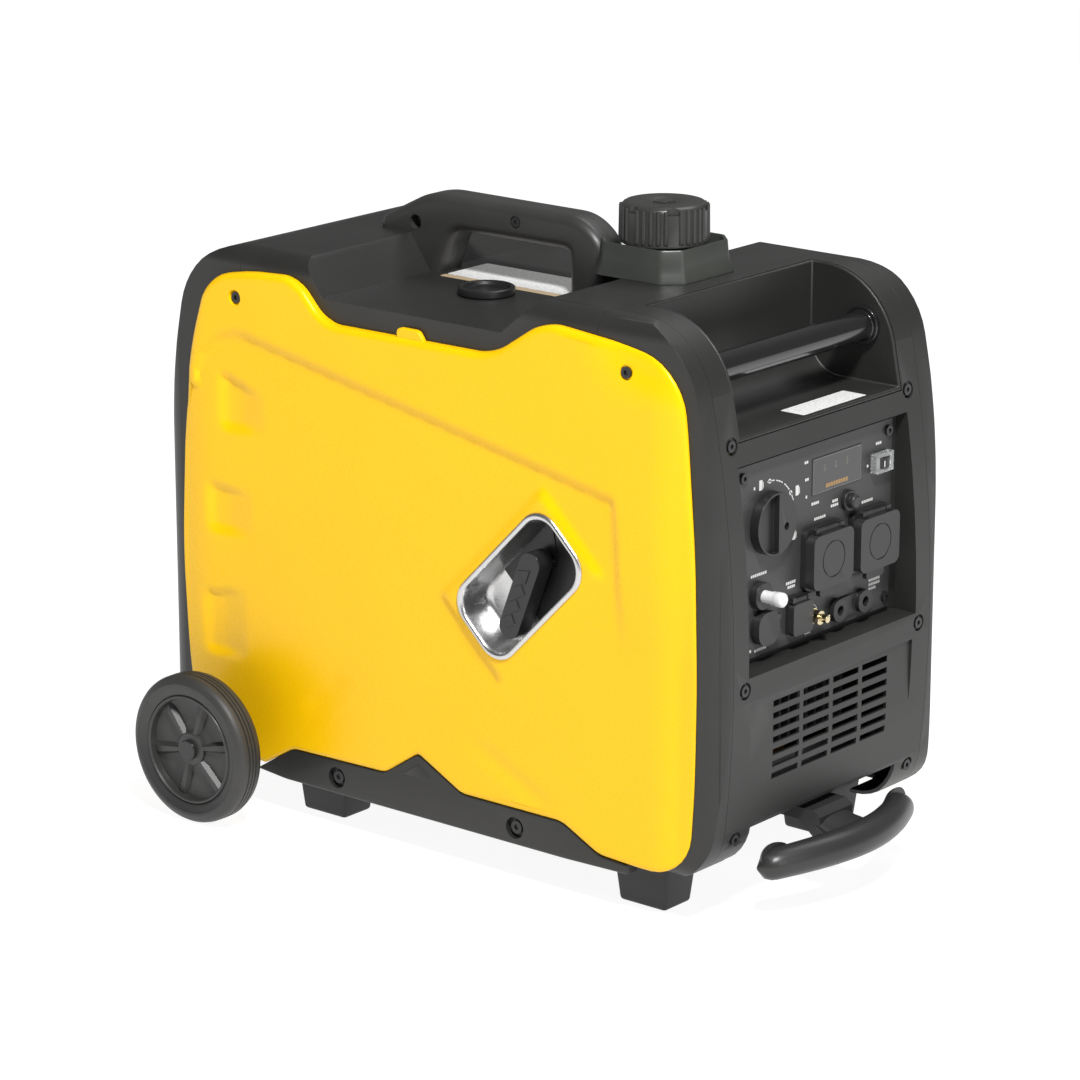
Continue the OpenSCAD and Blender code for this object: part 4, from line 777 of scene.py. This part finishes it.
# ---- Display window ----
# Smoked acrylic window let into the plate, with three small lamps and a tan load bar behind it.
smoked_acrylic = moulded("smoked_acrylic_window", "#2B2B2B", 0.12, depth=0.001, coat=0.4)
rounded("display_window", 0.3, smoked_acrylic)
window_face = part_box("display_window")[1].x
marks = bmesh.new()
for y in (10, 25, 40):
    stroke(y - 1.6, y + 1.6, 340.4, 341.2, marks, 0.1, window_face)
    stroke(y - 1.0, y + 1.0, 342.6, 343.4, marks, 0.1, window_face)
    stroke(y - 0.4, y + 0.4, 339, 345, marks, 0.1, window_face)
for edge in ((-4.6, 58.6, 323.0, 323.3), (-4.6, 58.6, 350.7, 351.0), (-4.7, -4.4, 323.0, 351.0),
        (58.4, 58.7, 323.0, 351.0)):
    stroke(*edge, marks, 0.1, window_face)
piece("display_lamps", marks, moulded("grey_lamp_print", "#77756F", 0.4, depth=0.002), "body")
bar = bmesh.new()
for part in range(9):
    stroke(12 + part * 3.3, 14.7 + part * 3.3, 325.4, 328.6, bar, 0.1, window_face)
piece("display_load_bar", bar, moulded("tan_load_bar", "#9C7A4C", 0.4, depth=0.002), "body")

# ---- Engine switch knob ----
# Black ABS knob, 50 mm across, with a half-moon finger wall; it turns from off to run and choke.
satin_abs = moulded("satin_black_abs", "#222222", 0.34, depth=0.02)
rounded("engine_switch_knob", 1.1, satin_abs, angle=30)

# ---- Eco throttle switch ----
# Clear soft PVC guard over a small two-tone rocker.
clear_pvc, shader, place = blank("clear_pvc_guard")
haze = add(clear_pvc, "ShaderNodeTexNoise", {"Vector": place.outputs["Object"], "Scale": 220.0, "Detail": 2.0})
gloss = add(clear_pvc, "ShaderNodeMapRange", {"Value": haze.outputs["Fac"], "To Min": 0.05, "To Max": 0.22})
tone = add(clear_pvc, "ShaderNodeMix", {"Factor": haze.outputs["Fac"], "A": linear("#D2D4D4"),
        "B": linear("#F4F6F6")}, data_type="RGBA")
clear_pvc.node_tree.links.new(gloss.outputs["Result"], shader.inputs["Roughness"])
clear_pvc.node_tree.links.new(tone.outputs["Result"], shader.inputs["Base Color"])
shader.inputs["Transmission Weight"].default_value = 0.75
shader.inputs["IOR"].default_value = 1.45
rounded("eco_switch_housing", 1.2, clear_pvc)
rounded("eco_rocker", 0.5, satin_abs)
low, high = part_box("eco_rocker")
form = bmesh.new()
stroke(79.5, 80.6, 329.5, 334.5, form, 0.15, high.x)
stroke(87.4, 88.0, 330.5, 333.5, form, 0.15, high.x)
piece("eco_rocker_marks", form, white_ink, "eco_switch")

# ---- Socket flaps and sockets ----
# Each AC socket has a sprung lid in softly grained rubber-faced plastic with a raised ring and a pull lip.
flap_rubber = moulded("black_flap_elastomer", "#2A2A2A", 0.4, grain=0.8, depth=0.04)
socket_abs = moulded("black_socket_abs", "#232323", 0.42, depth=0.03)
for node, radius in (("socket_flap_left", 2.0), ("socket_flap_right", 2.0), ("dc_outlet_flap", 1.6),
        ("usb_flap", 1.4)):
    rounded(node, radius, flap_rubber, segments=4, angle=30)
for node in ("ac_sockets", "dc_outlet", "usb_outlet", "parallel_sockets", "ac_reset_body", "dc_breaker_body"):
    rounded(node, 0.6, socket_abs)
rounded("ac_reset_button", 1.8, flap_rubber)

# ---- Breaker boot ----
# Milky silver PVC boot over the breaker button.
silver_pvc = moulded("milky_silver_pvc", "#C9CACA", 0.16, depth=0.01, shift="#E8E8E8", share=0.8, coat=0.5)
low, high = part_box("dc_breaker_button")
middle_y, middle_z = (low.y + high.y) / 2, (low.z + high.z) / 2
turned([(0, 34), (4.2, 34), (5.4, 33.2), (6.0, 31.8), (6.0, 27.2), (5.6, 26.2), (5.6, 23.4), (5.0, 22.8), (5.0, 0),
        (0, 0)], silver_pvc,
       "dc_breaker_boot", "breaker_button", ("dc_breaker_button",), (low.x, middle_y, middle_z),
       axis="X", steps=48)

# ---- Ground terminal ----
# Nickel-plated brass stud with a wing nut, in front of the printed earth sign.
plated_brass, shader, place = blank("nickel_plated_brass")
worn = add(plated_brass, "ShaderNodeTexNoise", {"Vector": place.outputs["Object"], "Scale": 320.0, "Detail": 3.0})
tone = add(plated_brass, "ShaderNodeMix", {"Factor": worn.outputs["Fac"], "A": linear("#E9E2C8"),
        "B": linear("#C9B27C")}, data_type="RGBA")
plated_brass.node_tree.links.new(tone.outputs["Result"], shader.inputs["Base Color"])
shader.inputs["Metallic"].default_value = 1.0
shader.inputs["Roughness"].default_value = 0.22
for node in ("ground_terminal", "ground_nut"):
    rounded(node, 0.5, plated_brass)

# ---- Wheels ----
# Moulded EVA-rubber tyres, 127 mm across, on black polypropylene hubs with six bowed spokes, run on a steel axle.
# The tread has three round grooves; the sidewalls have a raised ring and a dusty matt skin.
tyre_rubber = moulded("dusty_black_tyre_rubber", "#2C2C2C", 0.5, grain=1.1, depth=0.06, shift="#3A3A39", share=0.9)
hub_polypropylene = moulded("black_hub_polypropylene", "#333332", 0.42, shift="#3B3B3A", share=0.6)
bolt_steel = moulded("black_zinc_bolt", "#262626", 0.3, depth=0.01)
for side, label in ((-1, "left"), (1, "right")):
    low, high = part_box("tyre_" + label)
    middle = (low + high) / 2
    at = (middle.x, middle.y, middle.z)
    # heights run along the axle, from the outer face inwards
    tyre = [(46.9, 11), (49.5, 12.6), (53.2, 13.0), (54.2, 13.9), (56.6, 13.9), (57.6, 13.1), (59.6, 12.4),
            (61.6, 10.9), (62.9, 8.6), (63.4, 6.4),
            (63.4, 4.6), (62.2, 4.2), (62.2, 3.2), (63.5, 2.8), (63.5, 0.6), (62.3, 0.3), (62.3, -0.5), (63.5, -0.8),
            (63.5, -2.8), (62.2, -3.2), (62.2, -4.2),
            (63.4, -4.6), (63.3, -7), (62.2, -10.2), (60, -12.6), (56, -13.8), (49, -13), (46.9, -11), (46.9, 11)]
    form = turned(tyre, None, None, None, steps=128)
    rotate(form, form.verts, 90 * -side, "X")
    move(form, form.verts, at)
    bmesh.ops.recalc_face_normals(form, faces=form.faces)
    piece("tyre_%s_tread" % label, form, tyre_rubber, "wheel_" + label, ("tyre_" + label,), angle=38)
    # hub: rim barrel, dished disc and bearing boss
    hub = [(46.6, -11), (46.6, 10.6), (45.6, 12.0), (44.2, 12.0), (43.4, 11.0), (43.2, 4.6), (38, 3.2), (24, 3.0),
            (17, 4.2), (14.5, 5.2), (14.3, 8.0), (13.2, 9.0),
           (10.4, 9.2), (6.1, 9.2), (6.1, -10.4), (14, -10.4), (14, 0.4), (43, 0.4), (43, -11), (46.6, -11)]
    form = turned(hub, None, None, None, steps=96)
    for spoke in range(6):
        # each spoke is a bowed blade that widens towards the rim
        blade = bmesh.ops.create_cube(form, size=0.001)["verts"]
        bmesh.ops.scale(form, verts=blade, vec=(28.5, 7.0, 4.0))
        move(form, blade, (0.0285, 0, 0.0056))
        for vert in blade:
            if vert.co.x > 0.02:
                vert.co.y *= 1.7
                vert.co.z -= 0.0012 if vert.co.z > 0.005 else 0.0
            elif vert.co.z > 0.005:
                vert.co.z += 0.0004
            if vert.co.z > 0.0055:
                vert.co.y *= 0.45
        rotate(form, blade, 12 + spoke * 60, "Z")
    rotate(form, form.verts, 90 * -side, "X")
    move(form, form.verts, at)
    bmesh.ops.recalc_face_normals(form, faces=form.faces)
    piece("hub_%s_disc" % label, form, hub_polypropylene, "wheel_" + label, ("hub_" + label,),
            angle=30)
# black zinc-plated axle
rounded("axle", 0.8, bolt_steel)

# ---- Tow handle ----
# Bowed T-grip in soft black moulded plastic on a flat bar that slides out from under the housing.
grip_plastic = moulded("black_tow_grip_plastic", "#2B2B2B", 0.36, grain=1.0, depth=0.05, shift="#333332", share=0.6)

low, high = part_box("tow_handle")
tow = bmesh.new()
tow.from_mesh(frame["nodes"]["tow_handle"].data)
bmesh.ops.remove_doubles(tow, verts=tow.verts, dist=3e-6)
# only the bar and neck keep their drawn form; the grip is grown again as one smooth swept body
bmesh.ops.bisect_plane(tow, geom=tow.verts[:] + tow.edges[:] + tow.faces[:], plane_co=(high.x - 0.040, 0, 0),
        plane_no=(1, 0, 0), clear_outer=True)
bmesh.ops.holes_fill(tow, edges=[e for e in tow.edges if e.is_boundary], sides=0)
bmesh.ops.dissolve_limit(tow, angle_limit=math.radians(0.4), verts=tow.verts, edges=tow.edges)
bar = piece("tow_bar_and_neck", tow, grip_plastic, "tow_bar", ("tow_handle",))
soft = bar.modifiers.new("rounded_edges", "BEVEL")
soft.width, soft.segments, soft.limit_method, soft.angle_limit = 0.002, 3, "ANGLE", math.radians(40)
grip = bmesh.new()
loops = []
for step in range(41):
    along = -1 + step / 20
    end = math.sqrt(max(1 - max(abs(along) - 0.86, 0) ** 2 / 0.14 ** 2, 0.0))
    wide = (13.9 - 1.6 * along ** 2) * max(end, 0.12)
    tall = (13.6 - 1.4 * along ** 2) * max(end, 0.12)
    ring = bmesh.ops.create_circle(grip, cap_ends=False, segments=32, radius=0.001)["verts"]
    rotate(grip, ring, 90, "X")
    bmesh.ops.scale(grip, verts=ring, vec=(wide, 1, tall))
    bow = 31 * (1 - math.cos(along * 1.35)) / (1 - math.cos(1.35))
    rotate(grip, ring, 34 * along, "Z")
    move(grip, ring, (high.x - 0.0142 - bow / 1000, 0.0975 * along, 0.0505 - 0.006 * along ** 2))
    loops.append(list({e for v in ring for e in v.link_edges}))
for first, second in zip(loops, loops[1:]):
    bmesh.ops.bridge_loops(grip, edges=first + second)
bmesh.ops.contextual_create(grip, geom=loops[0])
bmesh.ops.contextual_create(grip, geom=loops[-1])
# the neck swells into the middle of the grip
neck = []
for dx, wide, tall, z in ((-0.058, 21, 5.5, 0.0645), (-0.047, 22, 7.5, 0.060), (-0.036, 23, 9.0, 0.0545),
        (-0.022, 26, 9.5, 0.0515)):
    ring = bmesh.ops.create_circle(grip, cap_ends=False, segments=32, radius=0.001)["verts"]
    rotate(grip, ring, 90, "Y")
    bmesh.ops.scale(grip, verts=ring, vec=(1, wide, tall))
    move(grip, ring, (high.x + dx, 0, z))
    neck.append(list({e for v in ring for e in v.link_edges}))
for first, second in zip(neck, neck[1:]):
    bmesh.ops.bridge_loops(grip, edges=first + second)
bmesh.ops.contextual_create(grip, geom=neck[0])
bmesh.ops.contextual_create(grip, geom=neck[-1])
bmesh.ops.recalc_face_normals(grip, faces=grip.faces)
piece("tow_grip", grip, grip_plastic, "tow_bar", angle=60)

# ---- Feet ----
# Tapered rubber feet bolted under the tray.
foot_rubber = moulded("black_foot_rubber", "#262626", 0.6, grain=1.2, depth=0.06)
form = bmesh.new()
for x in (-160.5, 178.5):
    for y in (-110, 110):
        block = bmesh.ops.create_cube(form, size=0.001)["verts"]
        bmesh.ops.scale(form, verts=block, vec=(62, 44, 70))
        move(form, block, (x / 1000, y / 1000, 0.035))
        lower = [v for v in block if v.co.z < 0.01]
        bmesh.ops.scale(form, verts=lower, vec=(0.74, 0.76, 1), space=Matrix.Translation((-x / 1000, -y / 1000, 0)))
bmesh.ops.bevel(form, geom=form.edges[:], offset=0.003, offset_type="OFFSET", segments=3, profile=0.5,
        affect="EDGES", material=-1)
piece("feet_moulding", form, foot_rubber, "body", ("feet",))

# ---- Screws, inner rubber and the parts inside the housing ----
# These keep their CAD form. Screws are black zinc-plated steel.
# The tank, engine, muffler and inverter are hidden from outside.
inner_parts = {
    "tank": moulded("painted_tank", "#303032", 0.35, depth=0.01),
    "seal_rubber": moulded("black_seal_rubber", "#232323", 0.5, grain=1.2),
    "screw_steel": moulded("black_zinc_steel", "#1C1C1C", 0.3, depth=0.01),
    "knob_plastic": moulded("black_abs_satin", "#262626", 0.4),
    "steel": moulded("zinc_steel", "#909090", 0.35),
    "engine_alloy": moulded("cast_alloy", "#A0A0A0", 0.5),
    "muffler_steel": moulded("muffler_steel", "#88827A", 0.4),
    "module_alloy": moulded("black_anodised", "#3A3A3C", 0.4)}
for part in frame["record"]["subparts"]:
    node = frame["nodes"][part["node"]]
    if not node.hide_render:
        node.data.materials.clear()
        node.data.materials.append(inner_parts.get(part["material_slot"], black_polypropylene))
